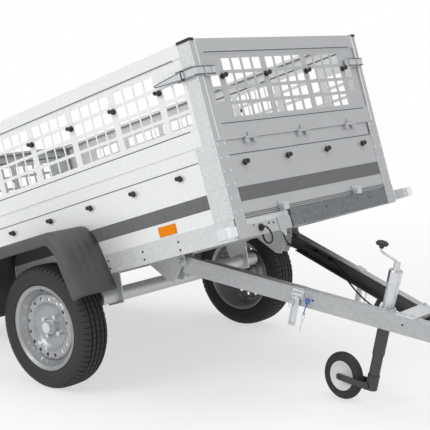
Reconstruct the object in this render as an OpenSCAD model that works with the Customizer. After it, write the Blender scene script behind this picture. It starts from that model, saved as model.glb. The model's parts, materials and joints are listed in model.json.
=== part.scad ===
// Single-axle utility trailer with mesh sides, its box tipped on a folding drawbar.
// X is across, the towing end points along -Y, Z is up from the ground.
// The box is drawn level in its own frame: y runs back from its front face and
// h up from the bottom of its frame. The drawbar is drawn level round its pivot.

/* [Box] */
// Length of the box outside
box_l = 1950; // [1500:10:2600]
// Width of the box outside
box_w = 1090; // [950:10:1300]
// Height of the frame rail under the side walls
rail_h = 78; // [74:1:100]
// Height of the steel side walls above the rail
wall_h = 286; // [260:1:420]
// Height of the mesh sides above the steel walls
mesh_h = 384; // [360:1:520]
// Depth of a folded rim at the edge of a panel
fold_w = 20; // [12:1:30]
// Thickness of the panel sheet
sheet_t = 2; // [1:0.5:3]
// Depth of the pressed step that stiffens each panel
step_d = 5; // [3:0.5:8]
// Thickness of the corner posts
post_t = 2; // [1:0.5:4]
// Width of a lower post along the side
post_side = 100; // [80:1:140]
// Width of a lower post along the front
post_front = 63; // [50:1:80]
// Width of an upper post along the side
upper_side = 64; // [40:1:80]
// Width of an upper post along the front
upper_front = 23; // [18:1:40]
// Thickness of the plywood floor
floor_t = 9; // [6:1:15]

/* [Mesh] */
// Width of a mesh window
win_w = 50; // [40:1:60]
// Height of a mesh window
win_h = 46; // [40:1:56]
// Height of the bars between rows of windows
row_bar = 13; // [8:1:20]
// Rows of windows
mesh_rows = 4; // [3:1:4]
// Distance from the top edge down to the first row of windows
win_top = 76; // [70:1:110]
// Width of the plain bar behind each cover knob
knob_bar = 33; // [26:1:40]

/* [Knobs] */
// Spacing of the cover knobs along the sides
knob_gap_side = 255; // [240:1:300]
// Spacing of the cover knobs along the front
knob_gap_front = 268; // [240:1:300]
// Height of the lower row of knobs below the top of the steel wall
knob_drop_low = 89; // [80:1:110]
// Height of the upper row of knobs below the top of the mesh
knob_drop_up = 144; // [140:1:165]
// Radius of a knob
knob_r = 17; // [12:0.5:20]

/* [Wheels] */
// Outer radius of the tyre
tyre_r = 258; // [250:1:290]
// Width of the tyre
tyre_w = 135; // [125:1:165]
// Radius of the rim flange
rim_r = 177; // [165:0.5:185]
// Distance from the side of the box to the middle of a tyre
wheel_out = 91; // [80:1:115]
// Distance of the wheel axis behind the front face of the box
wheel_y = 1000; // [900:5:1200]
// Depth of the wheel axis below the bottom of the frame
wheel_drop = 150; // [130:1:200]
// Vent holes in a wheel disc
vent_n = 16; // [12:1:18]

/* [Axle] */
// Radius of the axle tube
axle_r = 30; // [25:1:36]
// Distance of the axle tube ahead of the wheel axis
axle_lead = 163; // [140:1:180]
// Height of the axle tube above the wheel axis
axle_rise = 60; // [50:1:70]
// Half the distance between the axle brackets
axle_bracket_x = 421; // [380:1:440]

/* [Fenders] */
// Width of a fender outside the box
fender_w = 200; // [190:1:230]
// Thickness of the fender shell
fender_t = 4; // [3:0.5:6]
// Half length of the flat top of a fender
fender_flat = 222; // [180:1:240]
// Height of the fender top above the bottom of the frame
fender_top = 219; // [205:1:240]

/* [Stance] */
// How far the box is tipped, front end up
tip = 18; // [16:0.5:19]
// How far the drawbar points down at its front
nose = 11.4; // [9:0.2:12]

/* [Drawbar] */
// Distance of the drawbar pivot behind the front face of the box
pivot_y = 450; // [430:1:520]
// Depth of the drawbar pivot below the bottom of the frame
pivot_drop = 24; // [24:1:40]
// Radius of the pivot pins
pin_r = 8; // [6:0.5:10]
// Height of a drawbar beam
beam_h = 70; // [60:1:80]
// Width of a beam flange
beam_flange = 36; // [30:1:42]
// Thickness of the beam sheet
beam_t = 3; // [2:0.5:5]
// Distance from the middle to the outside of a beam at the pivot
beam_x = 369; // [350:1:380]
// Distance from the middle to the outside of a beam at its front end
bar_tip = 34.8; // [30:0.2:40]
// Distance from the pivot to the front end of the beams
bar_l = 1060; // [1040:5:1080]
// Height of the beam tops above the pivot
bar_rise = 19; // [17:0.5:19]

/* [Coupling] */
// Radius of the tow ball that the coupling takes
ball_r = 25; // [25:0.5:30]
// Distance from the front end of the beams to the middle of the tow ball
ball_reach = 270; // [240:5:320]

/* [Jockey wheel] */
// Distance of the jockey wheel tube behind the front end of the beams
jockey_back = 294; // [260:1:320]
// Gap between the jockey wheel tube and the beam beside it
jockey_gap = 5.75; // [5:0.25:10]
// Outer radius of the jockey wheel tube
jockey_r = 24; // [22:0.5:26]
// Wall of the jockey wheel tube
jockey_t = 2.5; // [2:0.5:4]
// Radius of the jockey wheel
caster_r = 96; // [88:1:105]
// Width of the jockey wheel tyre
caster_w = 44; // [36:1:56]
// Distance from the tube axis to the jockey wheel axle
trail = 145; // [140:1:160]
// How far the fork is swivelled from straight back
swivel = -9; // [-20:1:40]

/* [Hidden] */
// Clearance of a close fit
fit = 0.3;
// Clearance between moving panels
gap = 5;
// Facets of a hull's children
hull_fn = 32;
$fn = 64;

split_h = rail_h + wall_h;
top_h = split_h + mesh_h;
crease_low = split_h - 55;
crease_mid = split_h + 63;
crease_top = top_h - 52;
knob_h_low = split_h - knob_drop_low;
knob_h_up = top_h - knob_drop_up;
side_knobs = floor((box_l - 300) / knob_gap_side) + 1;
front_knobs = 4;
cap_rise = 3;
cap_h = 8;
band_h0 = rail_h + 56;
band_h1 = rail_h + 110;
band_t = 0.8;
rail_t = 3;
rail_w = 38;
front_panel_h = rail_h - 8;
hinge_r = 5;
hinge_pin_r = 2.5;
knuckle_w = 24;
hinge_at = [-0.31*box_w, 0, 0.31*box_w];
gate_out = 4;
tail_out = 7;
tail_pin_h = rail_h - 14;
gate_half = box_w/2 - upper_front - gap;
tailgate_half = box_w/2 - post_front - gap;
member_h = rail_h - floor_t - fit;
member_t = 3;

rim_half = tyre_w/2 - 10;
disc_t = 3.5;
disc_out = 10.2;
half_track = box_w/2 + wheel_out;
arm_x = half_track - 118;
arm_t = 14;
stub_r = 14;
hub_in = 84;
pin_hole = pin_r + fit;
eye_r = bar_rise - 1;
eye_x0 = beam_x - beam_flange + 2;
eye_x1 = beam_x + 14;
ear_t = 5;
lug_drop = 97;

pivot_z = tyre_r + (wheel_y - pivot_y)*sin(tip) + (wheel_drop - pivot_drop)*cos(tip);
pivot_gy = (wheel_drop - pivot_drop)*sin(tip) - (wheel_y - pivot_y)*cos(tip);
beam_slope = (beam_x - bar_tip) / bar_l;
beam_angle = atan(beam_slope);
beam_len = bar_l / cos(beam_angle);
jockey_q = bar_l - jockey_back;
jockey_x = jockey_r + jockey_gap - inner_edge(jockey_q);
caster_crown = caster_w / 2;
lean = asin(sin(swivel)*sin(nose));
caster_reach = (caster_r - caster_crown)*cos(lean) + caster_crown;
caster_q = jockey_q - trail*cos(swivel);
caster_level = (caster_reach - pivot_z + caster_q*sin(nose)) / cos(nose);
leg_bottom = caster_level + 7;
leg_top = bar_rise + 150;
sleeve_bottom = bar_rise - 200;
inner_r = jockey_r - jockey_t - fit;

fork_t = 5;
fork_x = caster_w/2 + gap + fork_t/2;

coupler_r = 39;
coupler_lip = 8;
coupler_top = 50;
ball_q = bar_l + ball_reach;
nose_q = ball_q + coupler_r;
front_gy = pivot_gy - nose_q*cos(nose) - coupler_lip*sin(nose);
rear_gy = (box_l + cap_rise - wheel_y)*cos(tip) + (top_h + cap_rise + wheel_drop)*sin(tip);
mid_y = -(front_gy + rear_gy) / 2;

cable_r = 3.5;
// Route of the lighting cable in the box frame, from its gland to the drawbar pivot
cable_loop_pts = [for (p = [[-408, -10, 26], [-408, -24, 24], [-407, -36, 8], [-403, -38, -12],
    [-396, -28, -30], [-386, -8, -38], [-370, 20, -34], [-346, 48, -18], [-312, 76, 8], [-276, 100, 34], [-240, 122, 52],
    [-200, 148, 60], [-120, 199, 60], [0, 275, 60], [100, 338, 60], [160, 374, 58], [214, 404, 50],
    [256, 426, 34], [284, 442, 12], [298, 450, -8], [300, 450, -22]])
    [p[0] < 0 ? p[0]*box_w/1090 : p[0], p[1] > 0 ? p[1]*pivot_y/450 : p[1], p[2]]];
// The rest of its route in the drawbar frame, from the pivot to the plug
cable_run_pts = [for (p = [[300, 0, 0], [302, -7, -12], [306, -16, -23], [311, -30, -32], [316, -50, -34],
    [320, -75, -28], [321, -102, -20], [309, -140, -16], [290, -200, -16], [258, -302, -16],
    [240, -340, -18], [216, -380, -26], [188, -430, -44], [164, -490, -62], [140, -555, -75],
    [117, -620, -78], [92, -690, -69], [70, -755, -48], [52, -815, -22], [38, -865, -6],
    [26, -905, -16], [18, -940, -38], [13, -980, -64], [16, -1020, -78], [26, -1060, -74],
    [40, -1094, -52], [51, -1114, -22], [56, -1124, 4], [58, -1137, 22], [58, -1156, 28]])
    [p[0], p[1] > -1060 ? p[1]*bar_l/1060 : p[1] + 1060 - bar_l, p[2]]];
// Clips of that cable under the floor, and along the drawbar
floor_clip_x = [-160, -40, 60];
beam_clip_q = [170, 270];
plug_q = ball_q - 174;
plug_x = 58;
plug_r = 19;
plug_z = bar_rise + 9;

// Outline helpers

function unit(v) = v / norm(v);
function left_of(v) = [-v[1], v[0]];
// Point i of a path moved to its left by t, mitred at the corners
function beside(p, i, t) =
    let (n = len(p),
         a = left_of(unit(i > 0 ? p[i] - p[i - 1] : p[1] - p[0])),
         b = left_of(unit(i < n - 1 ? p[i + 1] - p[i] : p[n - 1] - p[n - 2])),
         u = unit(a + b))
    p[i] + t/(u*a)*u;

// A bent sheet of thickness t to the left of a path
module bent_sheet(p, t) {
    polygon(concat(p, [for (i = [len(p) - 1 : -1 : 0]) beside(p, i, t)]));
}

// An outline of depth inward and height, drawn out along X
module drawn_out(length) {
    rotate([90, 0, 90]) linear_extrude(length, center = true) children();
}

// Level box frame to the tipped box
module tipped() {
    translate([0, mid_y, tyre_r]) rotate([-tip, 0, 0]) translate([0, -wheel_y, wheel_drop]) children();
}

// Level drawbar frame, with its pivot at the origin and the towing end along -Y
module lowered() {
    translate([0, mid_y + pivot_gy, pivot_z]) rotate([nose, 0, 0]) children();
}

// One side of the box: 1 right, -1 left. Inside, x runs along the side and y inward.
module on_side(s) {
    mirror([s > 0 ? 1 : 0, 0, 0]) translate([-box_w/2, box_l/2, 0]) rotate([0, 0, -90]) children();
}

// The rear face of the box, with y inward
module on_rear() {
    translate([0, box_l, 0]) mirror([0, 1, 0]) children();
}

module both_sides() {
    for (s = [0, 1]) mirror([s, 0, 0]) children();
}

// A round bar along X
module bar_x(r, length) {
    rotate([0, 90, 0]) cylinder(r = r, h = length, center = true);
}

// Box frame

module floor() {
    edge = post_t + sheet_t + fit;
    color("tan") tipped() translate([-box_w/2 + edge, edge, rail_h - floor_t])
        cube([box_w - 2*edge, box_l - 2*edge, floor_t]);
}

// C-shaped rail with its open side inward and a lip that holds the wall
module rail_outline() {
    t = rail_t;
    shelf = rail_h - floor_t;
    polygon([[0, 0], [rail_w, 0], [rail_w, t], [t, t], [t, shelf - t], [rail_w, shelf - t],
        [rail_w, shelf], [t, shelf], [t, rail_h], [0, rail_h]]);
}

module side_rails() {
    color("silver") tipped() for (s = [-1, 1]) on_side(s) drawn_out(box_l - 10) rail_outline();
}

// End rail with a recessed strip above its skirt
module end_rail() {
    t = rail_t;
    shelf = rail_h - floor_t;
    skirt = 47;
    back = t + 4;
    drawn_out(box_w - 2*rail_w - 1)
        polygon([[0, 0], [rail_w, 0], [rail_w, t], [t, t], [t, skirt - t], [back, skirt - t],
            [back, shelf - t], [rail_w, shelf - t], [rail_w, shelf], [back - t, shelf],
            [back - t, skirt], [0, skirt]]);
}

module front_rail() {
    color("silver") tipped() difference() {
        union() {
            end_rail();
            both_sides() translate([box_w/2 - rail_w - 0.5, 0, 0]) cube([rail_w - rail_t, 3, 47]);
        }
        translate([cable_loop_pts[0][0], 0, 26]) rotate([90, 0, 0]) cylinder(r = 11, h = 30, center = true);
    }
}

module rear_rail() {
    color("silver") tipped() on_rear() {
        end_rail();
        fixed_knuckles(tail_out, tail_pin_h, 4);
    }
}

// Hat-section member under the floor, with its crown down
module hat_member(y, crown, flange = 18) {
    half = crown/2;
    translate([0, y, 0]) drawn_out(box_w - 2*rail_t)
        bent_sheet([[-half - flange, member_h], [-half, member_h], [-half, member_t], [half, member_t],
            [half, member_h], [half + flange, member_h]], -member_t);
}

module cross_members() {
    color("silver") tipped() difference() {
        union() {
            hat_member(pivot_y + 95, 150);
            hat_member(wheel_y - axle_lead, 90);
            hat_member(box_l*0.68, 70);
            hat_member(box_l*0.87, 70);
        }
        // room for the rails
        for (s = [-1, 1]) on_side(s) translate([0, rail_w/2 - 1, member_h/2])
            cube([box_l, rail_w + 2.6, member_h + 10], center = true);
    }
}

// Panels

// Steel wall: rim at the foot, step near the top, rim folded in at the top
module wall_outline(foot) {
    bent_sheet([[post_t, foot], [post_t, crease_low], [post_t + step_d, crease_low + 8],
        [post_t + step_d, split_h], [post_t + fold_w, split_h], [post_t + fold_w, split_h - 12]], -sheet_t);
}

module side_wall(s) {
    tipped() on_side(s) drawn_out(box_l - 20) wall_outline(rail_h);
}

module side_wall_left() { color("gainsboro") side_wall(-1); }
module side_wall_right() { color("gainsboro") side_wall(1); }

// Knuckles on the fixed side of a hinge, with its pin: v is the height of the pin
module fixed_knuckles(out, v, back) {
    for (x = hinge_at) translate([x, -out, v]) {
        for (s = [-1, 1]) translate([s*(knuckle_w + 1), 0, 0]) bar_x(hinge_r, knuckle_w);
        bar_x(hinge_pin_r, 2*knuckle_w + 4);
        for (s = [-1, 1]) translate([s*(knuckle_w + 1) - knuckle_w/2, 0, -hinge_r - 15])
            cube([knuckle_w, out + back, 15 + hinge_r - 2.2]);
    }
}

// Knuckle on the moving side, turning on that pin, with its leaf going up
module moving_knuckle(out, v, back) {
    for (x = hinge_at) translate([x, -out, v]) difference() {
        union() {
            bar_x(hinge_r, knuckle_w);
            translate([-knuckle_w/2, 0, 2.2]) cube([knuckle_w, out + back, 15 + hinge_r]);
        }
        bar_x(hinge_pin_r + fit, knuckle_w + 2);
    }
}

module front_wall() {
    color("lightslategray") tipped() {
        drawn_out(box_w - 60) wall_outline(front_panel_h);
        fixed_knuckles(gate_out, split_h + 0.5, post_t + step_d);
    }
}

module mesh_outline(foot) {
    t = post_t;
    d = t + step_d;
    bent_sheet([[t + fold_w, foot], [t, foot], [t, crease_mid], [d, crease_mid + 6], [d, crease_top - 6],
        [t, crease_top], [t, top_h], [t + fold_w, top_h], [t + fold_w, top_h - 12]], -sheet_t);
}

// Rows of windows, with x from the left edge of the block
module windows(x0, columns, pitch, rows = [0 : mesh_rows - 1]) {
    for (i = [0 : columns - 1], j = rows)
        translate([x0 + i*pitch, -1, top_h - win_top - win_h - j*(win_h + row_bar)])
            cube([win_w, fold_w, win_h]);
}

// Window blocks between the knobs, and a part block at each end
module window_field(knobs, gap_k, end_columns) {
    pitch = (gap_k - knob_bar + (gap_k - knob_bar - 4*win_w)/3) / 4;
    first = -gap_k*(knobs - 1)/2;
    for (k = [0 : knobs - 2]) windows(first + k*gap_k + knob_bar/2, 4, pitch);
    end_w = (end_columns - 1)*pitch + win_w;
    end_rows = end_columns == 1 ? [1 : 2] : [1 : mesh_rows - 1];
    windows(-first + knob_bar/2, end_columns, pitch, end_rows);
    windows(first - knob_bar/2 - end_w, end_columns, pitch, end_rows);
}

module side_mesh(s) {
    tipped() on_side(s) difference() {
        drawn_out(box_l - 12) mesh_outline(split_h);
        window_field(side_knobs, knob_gap_side, 2);
    }
}

module side_mesh_left() { color("gainsboro") side_mesh(-1); }
module side_mesh_right() { color("gainsboro") side_mesh(1); }

// Plate that a corner latch pulls on, with its edge turned out
module latch_hook(half) {
    translate([-half, -3, top_h - 142]) cube([96, post_t + 3, 34]);
    translate([-half + 8, -8, top_h - 142]) cube([4, 6, 34]);
}

// Mesh gate that folds out about its lower edge
module mesh_gate(half) {
    difference() {
        union() {
            drawn_out(2*half) mesh_outline(split_h + 1);
            for (s = [-1, 1]) translate([s*(half - 1), post_t + fold_w/2, (split_h + top_h)/2 + 0.5])
                cube([2, fold_w, mesh_h - 1], center = true);
            moving_knuckle(gate_out, split_h + 0.5, post_t);
            for (s = [0, 1]) mirror([s, 0, 0]) latch_hook(half);
        }
        window_field(front_knobs, knob_gap_front, 1);
    }
}

module front_mesh() {
    color("lightslategray") tipped() mesh_gate(gate_half);
}

module rear_mesh() {
    color("lightslategray") tipped() on_rear() mesh_gate(gate_half);
}

module tailgate() {
    color("lightslategray") tipped() on_rear() {
        drawn_out(2*tailgate_half) wall_outline(front_panel_h);
        moving_knuckle(tail_out, tail_pin_h, post_t);
        fixed_knuckles(gate_out, split_h + 0.5, post_t + step_d);
    }
}

// Posts, caps and bands

module angle_post(side, front, foot, head) {
    translate([-box_w/2, 0, foot]) cube([post_t, side, head - foot]);
    translate([-box_w/2, 0, foot]) cube([front, post_t, head - foot]);
}

module at_corners() {
    both_sides() {
        children();
        translate([0, box_l, 0]) mirror([0, 1, 0]) children();
    }
}

module lower_posts() {
    color("lightgray") tipped() at_corners() angle_post(post_side, post_front, rail_h, split_h);
}

module upper_posts() {
    color("lightgray") tipped() at_corners() angle_post(upper_side, upper_front, split_h, top_h);
}

module post_caps() {
    color("dimgray") tipped() at_corners() difference() {
        translate([-box_w/2 - cap_rise, -cap_rise, top_h - cap_h])
            cube([upper_front + cap_rise, upper_side + cap_rise, cap_h + cap_rise]);
        translate([-box_w/2, 0, top_h - cap_h - 1]) cube([upper_front + 1, upper_side + 1, cap_h + 1]);
    }
}

module colour_bands() {
    color("dimgray") tipped() {
        for (s = [-1, 1]) on_side(s) translate([-box_l/2 + post_side, post_t - band_t, band_h0])
            cube([box_l - 2*post_side, band_t, band_h1 - band_h0]);
        translate([-box_w/2 + post_front, post_t - band_t, band_h0])
            cube([box_w - 2*post_front, band_t, band_h1 - band_h0]);
    }
}

// Fenders

// Outline of a fender round the wheel axis, as depth behind it and height
module fender_outline() {
    flat = fender_flat;
    foot = fender_flat + 98;
    h = fender_top;
    path = [[-foot, -62], [-flat - 52, h - 70], [-flat, h], [flat, h], [flat + 52, h - 70], [foot, -62]];
    bent_sheet(path, -fender_t);
}

module fender_face() {
    flat = fender_flat;
    foot = fender_flat + 98;
    h = fender_top;
    skirt = 50;
    path = [[-foot, -62], [-flat - 52, h - 70], [-flat, h], [flat, h], [flat + 52, h - 70], [foot, -62]];
    difference() {
        polygon(path);
        polygon([for (i = [0 : 5]) beside(path, i, -skirt)]);
        translate([-foot, -70 - 62]) square([2*foot, 70]);
    }
}

module fender() {
    tipped() translate([-box_w/2, wheel_y, 0]) {
        difference() {
            rotate([90, 0, -90]) mirror([1, 0, 0]) linear_extrude(fender_w) fender_outline();
            for (x = [38, 82, 126], m = [0, 1]) mirror([0, m, 0]) translate([-x - 24, 0, 0])
                rotate([90, 0, 90]) linear_extrude(24) bent_sheet([[fender_flat - 24, fender_top + 0.1],
                    [fender_flat, fender_top + 0.1], [fender_flat + 52, fender_top - 70 + 0.1],
                    [fender_flat + 74, fender_top - 170]], -1.4);
        }
        translate([-fender_w + fender_t, 0, 0]) rotate([90, 0, -90]) mirror([1, 0, 0])
            linear_extrude(fender_t) fender_face();
    }
}

module fender_left() { color("dimgray") fender(); }
module fender_right() { color("dimgray") mirror([1, 0, 0]) fender(); }

// Lamps, reflectors, latches and knobs

module marker_lamps() {
    color("white") tipped() both_sides() translate([-box_w/2 - 67.5, 0, 31]) {
        translate([-18, 18, -22]) cube([85.5, 3, 44]);
        rotate([-90, 0, 0]) translate([0, 0, -22]) linear_extrude(40) offset(5) square([34, 32], center = true);
        rotate([-90, 0, 0]) translate([0, 0, -40]) linear_extrude(18.5) offset(4) square([30, 28], center = true);
    }
}

module side_reflectors() {
    color("orange") tipped() for (s = [-1, 1]) on_side(s)
        translate([box_l/2 - 380, post_t - 5, rail_h + 6]) cube([90, 5, 38]);
}

module tail_lamps() {
    color("firebrick") tipped() on_rear() both_sides()
        translate([-box_w/2 + 40, -32, -8]) cube([210, 31.7, 51]);
}

module corner_latches() {
    color("silver") tipped() at_corners() {
        translate([-box_w/2 - 3, upper_side + 6, top_h - 140]) cube([3 + post_t + step_d, 76, 30]);
        translate([-box_w/2 - 9, upper_side + 12, top_h - 134]) cube([7, 52, 18]);
        translate([-box_w/2 - 13, upper_side - 8, top_h - 131]) cube([5, 104, 12]);
        translate([-box_w/2 - 7, -4, top_h - 131]) cube([4, upper_side + 24, 12]);
        translate([-box_w/2 - 7, -7, top_h - 131]) cube([upper_front + 4, 4, 12]);
    }
}

module drawbar_catches() {
    color("silver") tipped() both_sides() translate([-outer_edge(pivot_y + 12) - 31.7, 0, rail_h])
        rotate([90, 0, 90])
        linear_extrude(34, center = true) polygon([[0.3, -6], [-4, -8], [-20, -8], [-24, -4], [-24, 16],
            [-20, 22], [-18, 16], [-19, -2], [-16, -4], [-4, -4], [-3, 30], [post_t, 30], [post_t, 4],
            [0.3, 1]]);
}

module knob(depth) {
    rotate([90, 0, 0]) rotate_extrude() polygon([[0, -depth], [5, -depth], [5, 3], [knob_r, 3],
        [knob_r, 7], [6, 8], [6, 11], [knob_r - 2, 11], [knob_r - 2, 15], [0, 15]]);
}

module knob_row(n, pitch, h, depth) {
    for (i = [0 : n - 1]) translate([(i - (n - 1)/2)*pitch, 0, h]) knob(depth);
}

module cover_knobs() {
    color("black") tipped() {
        for (s = [-1, 1]) on_side(s) {
            translate([0, post_t, 0]) knob_row(side_knobs, knob_gap_side, knob_h_low, 0);
            translate([0, post_t, 0]) knob_row(side_knobs, knob_gap_side, knob_h_up, step_d);
        }
        translate([0, post_t, 0]) knob_row(front_knobs, knob_gap_front, knob_h_low, 0);
    }
}

module front_mesh_knobs() {
    color("black") tipped() translate([0, post_t, 0])
        knob_row(front_knobs, knob_gap_front, knob_h_up, step_d);
}

module rear_mesh_knobs() {
    color("black") tipped() on_rear() translate([0, post_t, 0])
        knob_row(front_knobs, knob_gap_front, knob_h_up, step_d);
}

module tailgate_knobs() {
    color("black") tipped() on_rear() translate([0, post_t, 0])
        knob_row(front_knobs, knob_gap_front, knob_h_low, 0);
}

// Drawbar hinge on the box

module ear_outline() {
    y = pivot_y;
    polygon([[y - 20, 0], [y - 20, -pivot_drop - 8], [y - 8, -pivot_drop - 18], [y + 12, -pivot_drop - 20],
        [y + 66, -lug_drop], [y + 92, -lug_drop + 8], [y + 180, 0]]);
}

module hinge_brackets() {
    color("silver") tipped() both_sides() difference() {
        union() {
            for (x = [-eye_x1 - fit - ear_t, -eye_x0 + fit]) translate([x, 0, 0])
                rotate([90, 0, 90]) linear_extrude(ear_t) ear_outline();
            translate([-eye_x1 - fit - ear_t, pivot_y + 30, -ear_t])
                cube([eye_x1 - eye_x0 + 2*fit + 2*ear_t, 130, ear_t]);
        }
        translate([-(eye_x0 + eye_x1)/2, pivot_y, -pivot_drop]) bar_x(pin_r, 200);
    }
}

module hinge_pins() {
    color("gray") tipped() both_sides() translate([-(eye_x0 + eye_x1)/2, pivot_y, -pivot_drop]) {
        bar_x(pin_r, eye_x1 - eye_x0 + 2*ear_t + 2*fit + 16);
        for (s = [-1, 1]) translate([s*((eye_x1 - eye_x0)/2 + ear_t + fit + 5), 0, 0])
            rotate([0, 90, 0]) cylinder(r = 13, h = 9.4, center = true, $fn = 6);
    }
}

// Lighting cable

// Smooth line through points, with n steps between each pair
function curve(p, n) = [for (i = [0 : len(p) - 2], k = [0 : n - 1])
    let (t = k/n, a = p[max(i - 1, 0)], b = p[i], c = p[i + 1], d = p[min(i + 2, len(p) - 1)])
    0.5*(2*b + (c - a)*t + (2*a - 5*b + 4*c - d)*t*t + (3*b - a - 3*c + d)*t*t*t), p[len(p) - 1]];

// Ring of a tube round point i of a path
function ring(p, i, r, sides) =
    let (t = unit(p[min(i + 1, len(p) - 1)] - p[max(i - 1, 0)]),
         u = unit(cross(t, [1, 0, 0])),
         v = cross(t, u))
    [for (k = [0 : sides - 1]) p[i] + r*(cos(360*k/sides)*u + sin(360*k/sides)*v)];

module tube(p, r, sides = 8) {
    n = len(p);
    polyhedron(
        points = [for (i = [0 : n - 1]) each ring(p, i, r, sides)],
        faces = concat([[for (k = [0 : sides - 1]) k]],
            [for (i = [0 : n - 2], k = [0 : sides - 1]) let (m = (k + 1) % sides)
                [i*sides + k, (i + 1)*sides + k, (i + 1)*sides + m, i*sides + m]],
            [[for (k = [sides - 1 : -1 : 0]) (n - 1)*sides + k]]));
}

module cable_loop() {
    color("#202020") tipped() tube(curve(cable_loop_pts, 2), cable_r);
}

// Gland in the front rail, and clips under the floor
module cable_clips() {
    from = cable_loop_pts[11];
    to = cable_loop_pts[14];
    color("#202020") tipped() {
        translate([cable_loop_pts[0][0], 0, 26]) rotate([90, 0, 0]) difference() {
            union() {
                translate([0, 0, -6]) cylinder(r = 10.7, h = 12);
                cylinder(r = 14, h = 5);
                cylinder(r1 = 9, r2 = 6, h = 10);
            }
            translate([0, 0, -7]) cylinder(r = cable_r + fit, h = 18);
        }
        for (x = floor_clip_x) translate(from + (x - from[0])/(to[0] - from[0])*(to - from))
            rotate([0, 0, atan2(to[1] - from[1], to[0] - from[0])]) difference() {
                union() {
                    bar_x(7, 10);
                    translate([-5, -8, 0]) cube([10, 16, member_h - from[2] + fit]);
                }
                bar_x(cable_r + 0.6, 12);
            }
    }
}

// Axle

module axle_tube() {
    color("silver") tipped() translate([0, wheel_y - axle_lead, -wheel_drop + axle_rise])
        bar_x(axle_r, 2*arm_x);
}

module axle_brackets() {
    y = wheel_y - axle_lead;
    h = -wheel_drop + axle_rise;
    color("silver") tipped() both_sides() difference() {
        translate([-axle_bracket_x - 3, 0, 0]) rotate([90, 0, 90]) linear_extrude(6)
            polygon([[y - 62, 0], [y - 44, h - axle_r - 8], [y + 44, h - axle_r - 8], [y + 62, 0]]);
        translate([-axle_bracket_x, y, h]) bar_x(axle_r, 20);
    }
    color("silver") tipped() both_sides() translate([-axle_bracket_x - 28, y - 62, -4]) cube([25, 124, 4]);
}

// Trailing arm with the stub that carries the hub
module swing_arm() {
    y = wheel_y - axle_lead;
    h = -wheel_drop + axle_rise;
    stub = half_track - arm_x - arm_t + 6;
    hull() {
        translate([-arm_x - arm_t/2, y, h]) rotate([0, 90, 0])
            cylinder(r = axle_r + 6, h = arm_t, center = true, $fn = hull_fn);
        translate([-arm_x - arm_t/2, wheel_y, -wheel_drop]) rotate([0, 90, 0])
            cylinder(r = 27, h = arm_t, center = true, $fn = hull_fn);
    }
    translate([-arm_x - arm_t - stub/2 + 0.5, wheel_y, -wheel_drop]) bar_x(stub_r, stub + 1);
}

module swing_arms() {
    color("gray") tipped() both_sides() swing_arm();
}

// Wheels, drawn round X with the outer face towards -X for the left one

module at_wheel(s) {
    tipped() mirror([s > 0 ? 1 : 0, 0, 0]) translate([-half_track, wheel_y, -wheel_drop])
        rotate([0, -90, 0]) children();
}

// Rim barrel and pressed disc, as radius and distance outward
module rim_shape() {
    f = rim_r;
    w = rim_half;
    rotate_extrude($fn = 96) union() {
        bent_sheet([[f, w + 3], [f, w], [f - 9, w - 1.5], [f - 14.5, w - 5], [f - 14.5, w - 17],
            [f - 33, w - 27], [f - 33, -6], [f - 14.5, -26], [f - 14.5, 5 - w], [f - 9, 1.5 - w],
            [f, -w], [f, -w - 3]], -3);
        bent_sheet([[f - 35.5, 4], [f - 35.5, 22], [f - 42, 33], [f - 58, 38], [f - 74, 33], [f - 86, 18],
            [f - 104, disc_out], [30, disc_out]], disc_t);
    }
}

module rim(s) {
    at_wheel(s) difference() {
        rim_shape();
        for (i = [0 : vent_n - 1]) rotate([0, 0, i*360/vent_n]) translate([rim_r - 59, 0, 20])
            cylinder(r = 8, h = 60, $fn = 24);
        for (i = [0 : 3]) rotate([0, 0, 45 + i*90]) translate([49, 0, 0]) cylinder(r = 7, h = 40, $fn = 24);
    }
}

module rim_left() { color("silver") rim(-1); }
module rim_right() { color("silver") rim(1); }

// Half of the tyre section from the bead to the middle of the tread
tyre_half = [[rim_r - 14.2, rim_half - 5.4], [rim_r - 9, rim_half - 1.9], [rim_r + 1, rim_half - 0.4],
    [rim_r + 5, rim_half + 5], [tyre_r*0.79, tyre_w/2 - 1],
    [tyre_r*0.85, tyre_w/2], [tyre_r*0.915, tyre_w/2 - 3], [tyre_r*0.96, tyre_w/2 - 10],
    [tyre_r - 4, tyre_w/2 - 19], [tyre_r - 1, tyre_w/2 - 32], [tyre_r, tyre_w/2 - 46]];

module tyre(s) {
    n = len(tyre_half);
    at_wheel(s) rotate_extrude($fn = 96)
        polygon(concat([for (p = tyre_half) [p[0], p[1]]],
            [for (i = [n - 1 : -1 : 0]) [tyre_half[i][0], -tyre_half[i][1]]]));
}

module tyre_left() { color("#2b2b2b") tyre(-1); }
module tyre_right() { color("#2b2b2b") tyre(1); }

module hub(s) {
    at_wheel(s) {
        difference() {
            union() {
                translate([0, 0, -hub_in]) cylinder(r = 40, h = hub_in);
                translate([0, 0, -50]) cylinder(r = 54, h = 50);
                translate([0, 0, -2]) cylinder(r = 66, h = disc_out - disc_t - fit + 2);
                cylinder(r = 29.5, h = 30);
                translate([0, 0, 30]) cylinder(r1 = 27, r2 = 22, h = 20);
                for (i = [0 : 3]) rotate([0, 0, 45 + i*90]) translate([49, 0, 0]) {
                    cylinder(r = 6, h = 24, $fn = 24);
                    translate([0, 0, disc_out + fit]) cylinder(r = 9.5, h = 16, $fn = 6);
                }
            }
            translate([0, 0, -hub_in - 1]) cylinder(r = stub_r + fit, h = hub_in + 9);
        }
    }
}

module hub_left() { color("gray") hub(-1); }
module hub_right() { color("gray") hub(1); }

// Drawbar

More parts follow.
